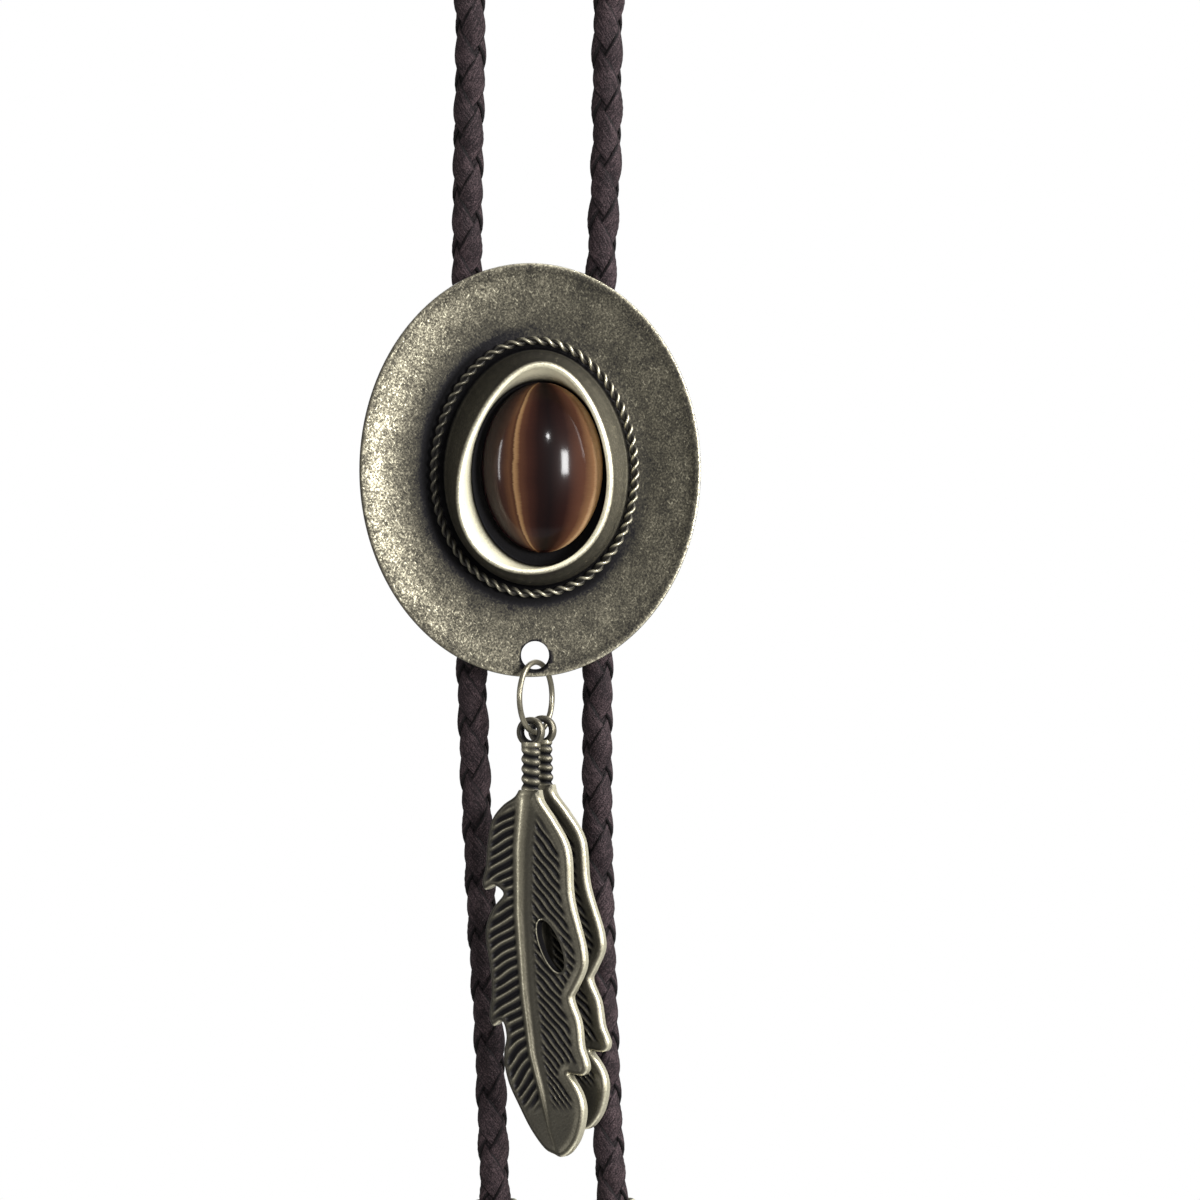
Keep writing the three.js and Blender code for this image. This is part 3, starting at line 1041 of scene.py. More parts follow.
@dataclass
class Hat:
    """The brass slide: a dished oval brim and a crown that is open to the front."""

    sides: int = 168
    step: float = 0.4
    hole: tuple[float, float, float] = (0.6, 0.49, -22.45)
    hole_sides: int = 48
    hole_wear: float = 0.95
    hole_polish: float = 0.8
    # Radius and depth of the hole's cutter
    hole_profile: tuple[tuple[float, float], ...] = (
        (0.1, -3), (2.6, -3), (2.0, -0.72), (1.86, -0.5), (1.72, -0.3), (1.7, -0.15), (1.7, 0.2),
        (1.75, 0.38), (1.9, 0.55), (2.4, 3), (0.1, 3),
    )
    # Depth, half width, half height, centre x and z, lean, taper, wear, polish
    stations: tuple[tuple[float, ...], ...] = (
        (-0.6, 0.2, 0.3, 1.2, -0.45, 0, 0, 0.05, 0.2),
        (-0.6, 7.5, 10.4, 1.2, -0.45, 0, 0, 0.05, 0.2),
        (-0.7, 8.2, 11.1, 1.2, -0.45, 0, 0, 0.08, 0.3),
        # The crown's inner wall: worn bare metal, turned pale and nearly non-metallic by its full polish, a
        # painted reflection.
        (-1.3, 8.3, 11.35, 1.15, -0.4, 0.05, 0.02, 0.7, 0.95),
        (-3.2, 8.35, 11.7, 1, -0.2, 0.3, 0.1, 1, 1),
        (-5.0, 8.42, 12.05, 0.82, 0.02, 0.57, 0.17, 1, 1),
        (-5.75, 8.53, 12.18, 0.75, 0.1, 0.7, 0.2, 0.95, 1),
        (-6.02, 8.7, 12.32, 0.75, 0.12, 0.7, 0.2, 1, 1),
        (-6.1, 8.9, 12.5, 0.75, 0.12, 0.7, 0.2, 1, 1),
        (-6.0, 9.12, 12.7, 0.75, 0.12, 0.7, 0.195, 0.8, 1),
        (-5.7, 9.3, 12.86, 0.75, 0.12, 0.7, 0.19, 0.42, 0.75),
        (-4.4, 9.83, 13.3, 0.75, 0.16, 0.5, 0.15, 0.36, 0.7),
        (-2.8, 10.35, 13.72, 0.75, 0.2, 0.3, 0.11, 0.36, 0.7),
        (-1.0, 10.85, 14.08, 0.74, 0.25, 0.13, 0.07, 0.36, 0.7),
        (-0.6, 11.02, 14.22, 0.74, 0.27, 0.1, 0.07, 0.45, 0.7),
        (-0.2, 11.1, 14.28, 0.74, 0.28, 0.06, 0.06, 0.3, 0.5),
        (0.6, 11.35, 14.47, 0.73, 0.3, 0, 0.05, 0.06, 0),
        (0.86, 11.7, 14.8, 0.7, 0.3, 0, 0.05, 0.04, 0),
        (0.9, 12.4, 15.6, 0.6, 0.3, 0, 0.04, 0.04, 0),
        (0.88, 13.0, 16.2, 0.5, 0.3, 0, 0.03, 0.08, 0),
        (0.8, 14.0, 17.3, 0.45, 0.25, 0, 0.02, 0.4, 0),
        (0.35, 17, 20.8, 0.2, 0.1, 0, 0, 0.52, 0),
        (-0.05, 19.2, 23.3, 0.08, 0.04, 0, 0, 0.52, 0),
        (-0.4, 20.3, 24.7, 0, 0, 0, 0, 0.5, 0),
        (-0.46, 20.46, 24.86, 0, 0, 0, 0, 0.74, 0.74),
        (-0.3, 20.64, 25.04, 0, 0, 0, 0, 0.78, 0.74),
        (0.1, 20.7, 25.1, 0, 0, 0, 0, 0.34, 0.74),
        (0.42, 20.6, 25.0, 0, 0, 0, 0, 0.42, 0.3),
        (0.5, 20.3, 24.7, 0, 0, 0, 0, 0.42, 0),
        (1.35, 17, 20.8, 0.2, 0.1, 0, 0, 0.4, 0),
        (1.8, 14, 17.4, 0.45, 0.25, 0, 0, 0.4, 0),
        (1.9, 12.8, 16.0, 0.5, 0.3, 0, 0, 0.38, 0),
        (1.9, 6, 8, 0.5, 0.3, 0, 0, 0.38, 0),
        (1.9, 0.3, 0.4, 0.5, 0.3, 0, 0, 0.38, 0),
    )
    # Half widths and depths at which the parts of the hat begin
    foot_r: float = 12.3
    brim_r: float = 13.0
    open_brim_r: float = 18.0
    edge_r: float = 20.4
    wall_r: float = 9.15
    wall_y: float = -5.9
    # Painted light and shade on the brim: paler at the left, darker at the right, a little darker at the top
    # and bottom, with a painted glow towards the upper left.
    brim_painted_light: float = 0.08
    brim_light_towards: float = 190.0
    brim_cross_light: float = 0.027
    brim_painted_glow: Tint = Tint(0.06, 155)
    # Painted shade on the rim edge at the left.
    edge_shade: Tint = Tint(0.4, 180)
    # Beside the rope: patina in the hollow with painted shade all round it, and a painted shadow of the crown
    # on the left.
    rope_reach: float = 4.0
    rope_shade: float = 0.05
    rope_side_shadow: Tint = Tint(0.12, 180)
    # Painted highlight at the crown's foot towards the upper right.
    foot_painted_highlight: Tint = Tint(0.43, 35, 0.6)
    # Painted light on the crown's outer wall: strong at the right, weaker at the left.
    wall_painted_light: Tint = Tint(0.25, 0, 1.5)
    wall_painted_glow: Tint = Tint(0.1, 180)

    def patina(self, row: Array, angle: Array) -> Array:
        """Gives the wear round one ring, with painted light and shade: the brim is painted darker at the
        right and paler low at the left, the rim edge is painted darker at the left, patina and painted shade
        lie beside the rope with a painted shadow of the crown on the left, and the crown's foot and outer
        wall carry painted light.

        Args:
            row: the ring's numbers.
            angle: the angles of its points.

        Returns:
            Wear of its points.
        """
        depth, half_width, plain = row[0], row[1], row[WEAR_COLUMN]
        wear = np.full_like(angle, plain)
        if half_width > self.edge_r:
            return wear - self.edge_shade.at(angle)
        if half_width > self.brim_r:
            across = self.brim_painted_light * np.cos(angle - math.radians(self.brim_light_towards))
            across = across + self.brim_cross_light * np.cos(2 * angle) + self.brim_painted_glow.at(angle)
            wear = wear + across * soft_step(half_width, self.brim_r, self.open_brim_r)
            near = bell(half_width, self.brim_r, self.rope_reach)
            wear = wear - near * (self.rope_shade + self.rope_side_shadow.at(angle))
        if half_width > self.foot_r:
            return np.maximum(wear, self.foot_painted_highlight.at(angle))
        if depth > self.wall_y and half_width > self.wall_r:
            return wear + self.wall_painted_light.at(angle) + self.wall_painted_glow.at(angle)
        return wear

    def cut_hole(self, hat: bpy.types.Object, material: bpy.types.Material) -> None:
        """Cuts the ring's hole, wider at both faces of the brim.

        Args:
            hat: the hat without its hole.
            material: the brass.
        """
        shell = Shell()
        rings = facing_front(lathe(self.hole_profile, self.hole_sides)) + self.hole
        shell.add_rings(rings, self.hole_wear, self.hole_polish)
        cutter = shell.build("hole_cutter", material)
        hole = hat.modifiers.new("hole", "BOOLEAN")
        hole.operation, hole.solver, hole.object = "DIFFERENCE", "EXACT", cutter
        graph = bpy.context.evaluated_depsgraph_get()
        holed = bpy.data.meshes.new_from_object(hat.evaluated_get(graph))
        hat.modifiers.clear()
        hat.data = holed
        bpy.data.objects.remove(cutter)
        holed.materials.clear()
        holed.materials.append(material)
        holed.polygons.foreach_set("material_index", np.zeros(len(holed.polygons), np.int32))
        holed.set_sharp_from_angle(angle=math.radians(SHARP_ANGLE))

    def build(self, material: bpy.types.Material) -> bpy.types.Object:
        """Lofts the hat and cuts its hole.

        Args:
            material: the brass.

        Returns:
            The hat.
        """
        rows = smooth_curve(self.stations, self.step, keys=2)
        angle = circle(self.sides)
        shell = Shell()
        wear = np.concatenate([self.patina(row, angle) for row in rows])
        polish = np.repeat(rows[:, POLISH_COLUMN], self.sides)
        shell.add_rings(np.stack([oval(row, angle) for row in rows]), wear, polish)
        hat = shell.build("hat_slide", material)
        self.cut_hole(hat, material)
        return fit(hat, Body.SLIDE, Slot.BRASS, "hat_body")


@dataclass
class RopeBand:
    """A rope of two twisted wires round the foot of the crown."""

    oval: tuple[float, ...] = (0.1, 12.2, 15.35, 0.55, 0.35, 0, 0.05)
    oval_points: int = 2000
    oval_step: float = 0.02
    wire_r: float = 0.29
    lay_r: float = 0.24
    turns: int = 31
    samples: int = 18
    sides: int = 10
    # Deep wear is the patina between the wires and top wear the worn crowns; both are painted darker towards
    # the left, a painted shade.
    deep_wear: float = 0.32
    deep_left_shade: float = 0.06
    top_wear: float = 0.54
    top_left_shade: float = 0.34
    top_from: float = 0.1
    polish: float = 0.5

    def build(self, material: bpy.types.Material) -> bpy.types.Object:
        """Twists the two wires.

        Args:
            material: the brass.

        Returns:
            The rope.
        """
        count = self.turns * self.samples
        line = evenly(oval(np.array(self.oval), np.linspace(0, FULL, self.oval_points)), self.oval_step)
        at = np.linspace(0, len(line) - 1, count, endpoint=False)
        path = np.stack([np.interp(at, np.arange(len(line)), column) for column in line.T], axis=1)
        along = np.roll(path, -1, axis=0) - np.roll(path, 1, axis=0)
        along /= np.linalg.norm(along, axis=1)[:, None]
        out = np.cross(along, FRONT)
        around = circle(self.sides)
        ring = np.cos(around)[None, :, None] * FRONT + np.sin(around)[None, :, None] * out[:, None]
        _, half_width, _, centre_x, *_ = self.oval
        # Share towards the left, where the painted shade is strongest.
        left = np.clip((centre_x - path[:, 0]) / half_width, 0, 1)[:, None]
        shell = Shell()
        for start in (0, math.pi):
            turn = FULL * np.arange(count) / self.samples + start
            offset = np.cos(turn)[:, None] * FRONT + np.sin(turn)[:, None] * out
            top = soft_step(np.einsum("ijk,ik->ij", ring, offset), self.top_from, 1.0)
            wear = self.deep_wear - self.deep_left_shade * left + (self.top_wear - self.top_left_shade * left) * top
            rings = (path + offset * self.lay_r)[:, None] + ring * self.wire_r
            shell.add_rings(rings, wear, self.polish, closed=True)
        return fit(shell.build("rope_band", material, ROUND_ANGLE), Body.SLIDE, Slot.BRASS, "hat_band")


@dataclass
class Cabochon:
    """The oval stone on the floor of the crown."""

    half_width: float = 7.33
    half_height: float = 10.3
    centre_x: float = 1.5
    centre_z: float = 0.25
    seat_y: float = -0.9
    girdle: float = 0.6
    dome: float = 4.3
    rows: int = 40
    top_gap: float = 0.3
    sides: int = 96
    narrowest: float = 0.02
    # Share of the size and height over the seat, below the dome
    foot: tuple[tuple[float, float], ...] = ((0.02, 0.0), (0.95, 0.0), (0.99, 0.12), (1.0, 0.4))

    def build(self, material: bpy.types.Material) -> bpy.types.Object:
        """Grinds the dome.

        Args:
            material: the stone.

        Returns:
            The stone.
        """
        profile = [(size, -height) for size, height in self.foot]
        for k in range(1, self.rows + 1):
            tilt = math.pi / 2 * k / (self.rows + self.top_gap)
            profile.append((math.cos(tilt), -self.girdle - self.dome * math.sin(tilt)))
        rings = facing_front(lathe(profile, self.sides))
        narrow = np.sqrt(np.maximum(1 - rings[..., 2] ** 2, self.narrowest))
        across = np.clip((1 + rings[..., 0] / narrow) / 2, 0, 1)
        rings = rings * (self.half_width, 1, self.half_height) + (self.centre_x, self.seat_y, self.centre_z)
        shell = Shell()
        shell.add_rings(rings, across, 1)
        return fit(shell.build("cabochon", material, ROUND_ANGLE), Body.SLIDE, Slot.STONE, "stone")


@dataclass
class CordClasp:
    """The plate behind the hat, with a sleeve for each strand of the cord."""

    width: float = 24.0
    height: float = 16.0
    thick: float = 0.9
    back_y: float = 2.2
    bore_r: float = 2.4
    corner_power: float = 0.28
    plate_sides: int = 96
    sleeve_sides: int = 48
    lip_steps: int = 8
    narrowest: float = 0.4
    plate_wear: float = 0.5
    sleeve_wear: float = 0.52
    polish: float = 0.3
    # Distance in from the outline, and depth below the face
    edge: tuple[tuple[float, float], ...] = ((11.0, 0.0), (0.25, 0.0), (0.07, 0.07), (0.0, 0.25))

    def plate(self) -> Array:
        """Shapes the plate.

        Returns:
            Rings of points with rounded corners and edges.
        """
        angle = circle(self.plate_sides)
        x = signed_power(np.cos(angle), self.corner_power)
        z = signed_power(np.sin(angle), self.corner_power)
        far_edge = [(inset, self.thick - y) for inset, y in reversed(self.edge)]
        middle = sum(SLEEVE_X) / 2
        rings = []
        for inset, y in (*self.edge, *far_edge):
            a = max(self.width / 2 - inset, self.narrowest)
            b = max(self.height / 2 - inset, self.narrowest)
            rings.append(np.stack([middle + a * x, np.full_like(x, self.back_y + y), b * z], axis=1))
        return np.stack(rings)

    def sleeve(self, x: float) -> Array:
        """Turns one sleeve.

        Args:
            x: place of its middle.

        Returns:
            Closed rings, over its lips from the bore to the outside and back.
        """
        half = self.height / 2
        lip = (SLEEVE_R - self.bore_r) / 2
        middle = self.bore_r + lip
        turns = [math.pi * k / self.lip_steps for k in range(self.lip_steps + 1)]
        profile = [(middle - lip * math.cos(turn), half - lip + lip * math.sin(turn)) for turn in turns]
        profile.append((SLEEVE_R, 0.0))
        profile += [(middle + lip * math.cos(turn), lip - half - lip * math.sin(turn)) for turn in turns]
        profile.append((self.bore_r, 0.0))
        return lathe(profile, self.sleeve_sides) + (x, CORD_Y, 0)

    def build(self, material: bpy.types.Material) -> bpy.types.Object:
        """Joins the plate and the sleeves.

        Args:
            material: the brass.

        Returns:
            The clasp.
        """
        shell = Shell()
        shell.add_rings(self.plate(), self.plate_wear, self.polish)
        for x in SLEEVE_X:
            shell.add_rings(self.sleeve(x), self.sleeve_wear, self.polish, closed=True)
        return fit(shell.build("cord_sleeves", material), Body.SLIDE, Slot.BRASS, "cord_clasp")


@dataclass
class Drop:
    """Where the ring and the feathers hang."""

    turn: float = 27.0
    ring_x: float = 0.7
    ring_y: float = 0.05
    ring_z: float = -27.54
    ring_r: float = 4.25
    eye_drop: float = 0.15

    def ring_matrix(self) -> Matrix:
        """Gives the place and turn of the ring."""
        centre = Matrix.Translation((self.ring_x, self.ring_y, self.ring_z))
        return centre @ Matrix.Rotation(-math.radians(self.turn), 4, "Z")

    def eye_matrix(self, along: float, slant: float) -> Matrix:
        """Gives the place and turn of a feather's eye.

        Args:
            along: where it hangs along the ring.
            slant: its lean in degrees.

        Returns:
            The matrix.
        """
        hang = Matrix.Translation((0, along, -math.sqrt(self.ring_r**2 - along**2)))
        lean = Matrix.Rotation(math.radians(slant), 4, "Y")
        return self.ring_matrix() @ hang @ lean @ Matrix.Translation((0, 0, -self.eye_drop))


@dataclass
class JumpRing:
    """A wire ring whose two ends meet at a fine cut."""

    wire_r: float = 0.34
    cut_at: float = 200.0
    cut: float = 0.018
    samples: int = 120
    sides: int = 18
    wear: float = 0.68
    polish: float = 0.7

    def build(self, material: bpy.types.Material, drop: Drop) -> bpy.types.Object:
        """Bends the ring.

        Args:
            material: its wire.
            drop: where it hangs.

        Returns:
            The ring.
        """
        start = math.radians(self.cut_at) + self.cut / 2
        bend = np.linspace(start, start + FULL - self.cut, self.samples)[:, None]
        around = circle(self.sides)[None]
        radius = drop.ring_r + self.wire_r * np.cos(around)
        aside = np.broadcast_to(self.wire_r * np.sin(around), (self.samples, self.sides))
        shell = Shell()
        rings = np.stack([aside, radius * np.cos(bend), radius * np.sin(bend)], axis=-1)
        shell.add_rings(rings, self.wear, self.polish)
        shell.move(drop.ring_matrix())
        return fit(shell.build("wire_ring", material, ROUND_ANGLE), Body.RING, Slot.WIRE, "jump_ring")


@dataclass(frozen=True)
class Slit:
    """The oval slit that pierces a vane."""

    x: float = 3.1
    down: float = 25.8
    half_width: float = 1.25
    half_length: float = 3.4
    tilt: float = 24.0
    sides: int = 72
    middle_lean: float = 0.35

    def edge(self) -> Array:
        """Draws the slit.

        Returns:
            Points round it.
        """
        angle = circle(self.sides)
        lean = math.radians(self.tilt)
        across, along = self.half_width * np.cos(angle), self.half_length * np.sin(angle)
        return np.stack([self.x + across * math.cos(lean) + along * math.sin(lean),
                         self.down + along * math.cos(lean) - across * math.sin(lean)], axis=1)

    def left(self, x: Array, down: Array) -> Array:
        """Tells which places lie on its left."""
        return x < self.x + self.middle_lean * (down - self.down)


@dataclass(frozen=True)
class HalfVane:
    """The barbs and the border on one side of the rib, with the painted highlight along that border.

    Pairs of numbers are the distances between which something begins.
    """

    lean: float
    bow: float
    from_rib: tuple[float, float]
    lower_widening: float
    from_border: tuple[float, float]
    bright: float
    highlight_edge: tuple[float, float]


@dataclass(frozen=True)
class Relief:
    """Heights and wear of the front of a vane, whose wear also holds painted light: one flank of the rib, a
    glow along the right border and highlights on both borders.

    Pairs of numbers are the distances between which something begins or ends, but the middle and
    the width of a bead, a glow or a rim.
    """

    left: HalfVane = HalfVane(0.36, 0.035, (0.15, 0.7), 0.0, (0.4, 1.0), 0.6, (0.03, 0.16))
    right: HalfVane = HalfVane(1.12, 0.0, (0.95, 1.5), 0.5, (1.1, 1.7), 1.0, (0.04, 0.3))
    pitch: float = 1.22
    lower: tuple[float, float] = (34.0, 46.0)
    lower_lean: float = 0.5
    # Size of a barb's waves, and how they turn downwards and across
    waves: tuple[tuple[float, float, float], ...] = ((0.05, 1.9, 0.7), (0.05, 0.83, -1.3))
    crest_power: float = 0.7
    barbs_begin: tuple[float, float] = (8.6, 9.8)
    barbs_end: tuple[float, float] = (44.0, 46.2)
    from_slit: tuple[float, float] = (0.12, 0.5)
    groove: float = 0.34
    dome: float = 0.3
    dome_reach: float = 7.0
    rib_height: float = 0.34
    rib_width: float = 1.15
    rib_fade: float = 0.8
    rib_end: tuple[float, float] = (42.0, 49.0)
    round_reach: float = 0.4
    round_depth: float = 0.34
    bead: tuple[float, float] = (0.5, 0.32)
    bead_height: float = 0.08
    plain_wear: float = 0.39
    rib_wear: float = 0.42
    rib_light_swing: float = 0.25
    rib_light_turn: float = 0.9
    # Wear of the barbs: size and power of what their crests add
    barb_wear: tuple[tuple[float, float], ...] = ((0.08, 0.0), (0.35, 1.4), (0.24, 7.0))
    glow: tuple[float, float] = (0.7, 0.5)
    glow_wear: float = 0.12
    highlight_wear: float = 0.93
    highlight_begin: tuple[float, float] = (7.3, 8.4)
    rim: tuple[float, float] = (0.08, 0.16)
    rim_height: float = 0.16
    rim_wear: float = 0.85

    def crests(self, x: Array, down: Array, across: Array) -> Array:
        """Gives how high the barbs are, from 0 in their grooves to 1.

        Args:
            x: places across the feather.
            down: distances down.
            across: distances from the rib, below 0 on its left.

        Returns:
            The heights.
        """
        side = np.abs(across)
        lean = np.where(across < 0, self.left.lean, self.right.lean)
        lean = lean + self.lower_lean * soft_step(down, *self.lower)
        line = down - side * lean - np.where(across < 0, self.left.bow, self.right.bow) * side**2
        sway = sum(size * np.sin(down * along + x * aside) for size, along, aside in self.waves)
        return ((1 + np.cos(FULL * (line / self.pitch + sway))) / 2) ** self.crest_power

    def barbed(self, down: Array, across: Array, half: Array, edge: Array, slit_edge: Array) -> Array:
        """Gives where the vane has barbs.

        Args:
            down: distances down.
            across: distances from the rib, below 0 on its left.
            half: half widths of the rib.
            edge: distances to the vane's border.
            slit_edge: distances to the slit.

        Returns:
            1 among the barbs and 0 on the rib, the border and the slit's rim.
        """
        on_left = (across < 0)[:, None]
        rib_from, rib_to = np.where(on_left, self.left.from_rib, self.right.from_rib).T
        border_from, border_to = np.where(on_left, self.left.from_border, self.right.from_border).T
        wider = np.where(across < 0, self.left.lower_widening, self.right.lower_widening)
        side = np.abs(across) - half + wider * soft_step(down, *self.lower)
        share = soft_step(side, rib_from, rib_to) * soft_step(edge, border_from, border_to)
        share = share * soft_step(down, *self.barbs_begin) * (1 - soft_step(down, *self.barbs_end))
        return share * soft_step(slit_edge, *self.from_slit)

    def at(self, points: Array, rib: tuple[Array, Array], edge: Array, right: Array,
           slit: Slit) -> tuple[Array, Array]:
        """Works out the front at points of the vane.

        Args:
            points: x and distance down.
            rib: middle and half width of the rib beside each point.
            edge: distances to the vane's border.
            right: whether the nearest border faces right.
            slit: the vane's slit.

        Returns:
            Heights above the plate, and wear with painted light on the rib and the borders.
        """
        x, down = points.T
        middle, half = rib
        across = x - middle
        slit_edge, _ = nearest(points, slit.edge())
        crests = self.crests(x, down, across)
        barbed = self.barbed(down, across, half, edge, slit_edge)
        rib_rise = bell(across, 0, half * self.rib_width)
        rib_rise = rib_rise * (1 - self.rib_fade * soft_step(down, *self.rib_end))
        rim = bell(slit_edge, *self.rim) * slit.left(x, down)
        height = self.dome * (1 - np.clip(np.abs(across) / self.dome_reach, 0, 1) ** 2)
        height += self.rib_height * rib_rise - self.groove * (1 - crests) * barbed
        height -= self.round_depth * np.clip(1 - edge / self.round_reach, 0, 1) ** 2
        height += self.bead_height * bell(edge, *self.bead) + self.rim_height * rim
        # The raised rib is worn paler, and painted light falls on one of its flanks.
        lit = 1 - self.rib_light_swing + self.rib_light_swing * np.cos(across / half + self.rib_light_turn)
        wear = self.plain_wear + self.rib_wear * rib_rise * lit
        wear = mixed(wear, sum(size * crests**power for size, power in self.barb_wear), barbed)
        # Painted glow along the right border.
        wear += self.glow_wear * bell(edge, *self.glow) * (right & (across > 0))
        # Painted highlight along both borders, strongest on the right.
        bright = np.where(right, self.right.bright * (1 - soft_step(edge, *self.right.highlight_edge)),
                          self.left.bright * (1 - soft_step(edge, *self.left.highlight_edge)))
        wear = mixed(wear, self.highlight_wear, bright * soft_step(down, *self.highlight_begin))
        return height, np.maximum(wear, self.rim_wear * rim)


@dataclass(frozen=True)
class Eye:
    """The flattened eye by which a feather hangs on the ring."""

    radius: float = 1.42
    wall: float = 0.43
    depth: float = 0.52
    roundness: float = 0.8
    profile_sides: int = 24
    sides: int = 56
    inner_wear: float = 0.12
    outer_wear: float = 0.5
    outer_from: float = 0.9
    front_wear: float = 0.2
    front_from: float = 0.6
    polish: float = 0.5

    def add_to(self, shell: Shell) -> None:
        """Adds the eye.

        Args:
            shell: what it is added to.
        """
        turn = circle(self.profile_sides)
        radius = self.radius + self.wall * signed_power(np.cos(turn), self.roundness)
        depth = self.depth * signed_power(np.sin(turn), self.roundness)
        wear = self.inner_wear + self.outer_wear * soft_step(np.cos(turn), 0, self.outer_from)
        wear = wear + self.front_wear * soft_step(-np.sin(turn), self.front_from, 1)
        rings = facing_front(lathe(np.stack([radius, depth], axis=1), self.sides))
        shell.add_rings(rings, np.repeat(wear, self.sides), self.polish, closed=True)


@dataclass(frozen=True)
class Quill:
    """The quill between eye and vane, with slanted wraps.

    Pairs of numbers are the distances down between which something begins or ends.
    """

    reach: tuple[float, float] = (1.25, 9.2)
    rows: int = 110
    sides: int = 48
    radius: float = 1.24
    depth: float = 0.66
    wraps_begin: tuple[float, float] = (1.7, 2.1)
    wraps_end: tuple[float, float] = (7.0, 7.4)
    pitch: float = 1.19
    slant: float = 0.22
    wrap_power: float = 0.6
    groove: float = 0.28
    blend: tuple[float, float] = (7.2, 9.2)
    narrowing: float = 0.35
    flattening: float = 0.2
    shift: float = 0.3
    wear: float = 0.7
    groove_wear: float = 0.66
    blend_wear: float = 0.2
    side_wear: float = 0.12
    polish: float = 0.4

    def add_to(self, shell: Shell, stretch: float) -> None:
        """Adds the quill.

        Args:
            shell: what it is added to.
            stretch: the feather's length against the usual one.
        """
        around = circle(self.sides)[None]
        down = np.linspace(*self.reach, self.rows)[:, None]
        wraps = soft_step(down, *self.wraps_begin) * (1 - soft_step(down, *self.wraps_end))
        turns = (down - self.slant * np.cos(around) - self.wraps_begin[0]) / self.pitch
        groove = (1 - ((1 - np.cos(FULL * turns)) / 2) ** self.wrap_power) * wraps
        blend = soft_step(down, *self.blend)
        radius = (self.radius - self.groove * groove) * (1 - self.narrowing * blend)
        depth = self.depth * radius * np.sin(around) * (1 - self.flattening * blend)
        rings = np.stack([radius * np.cos(around) - self.shift * blend, depth,
                          np.broadcast_to(-down * stretch, radius.shape)], axis=-1)
        wear = self.wear - self.groove_wear * groove - self.blend_wear * blend
        shell.add_rings(rings, wear - self.side_wear * wraps * np.cos(around), self.polish)


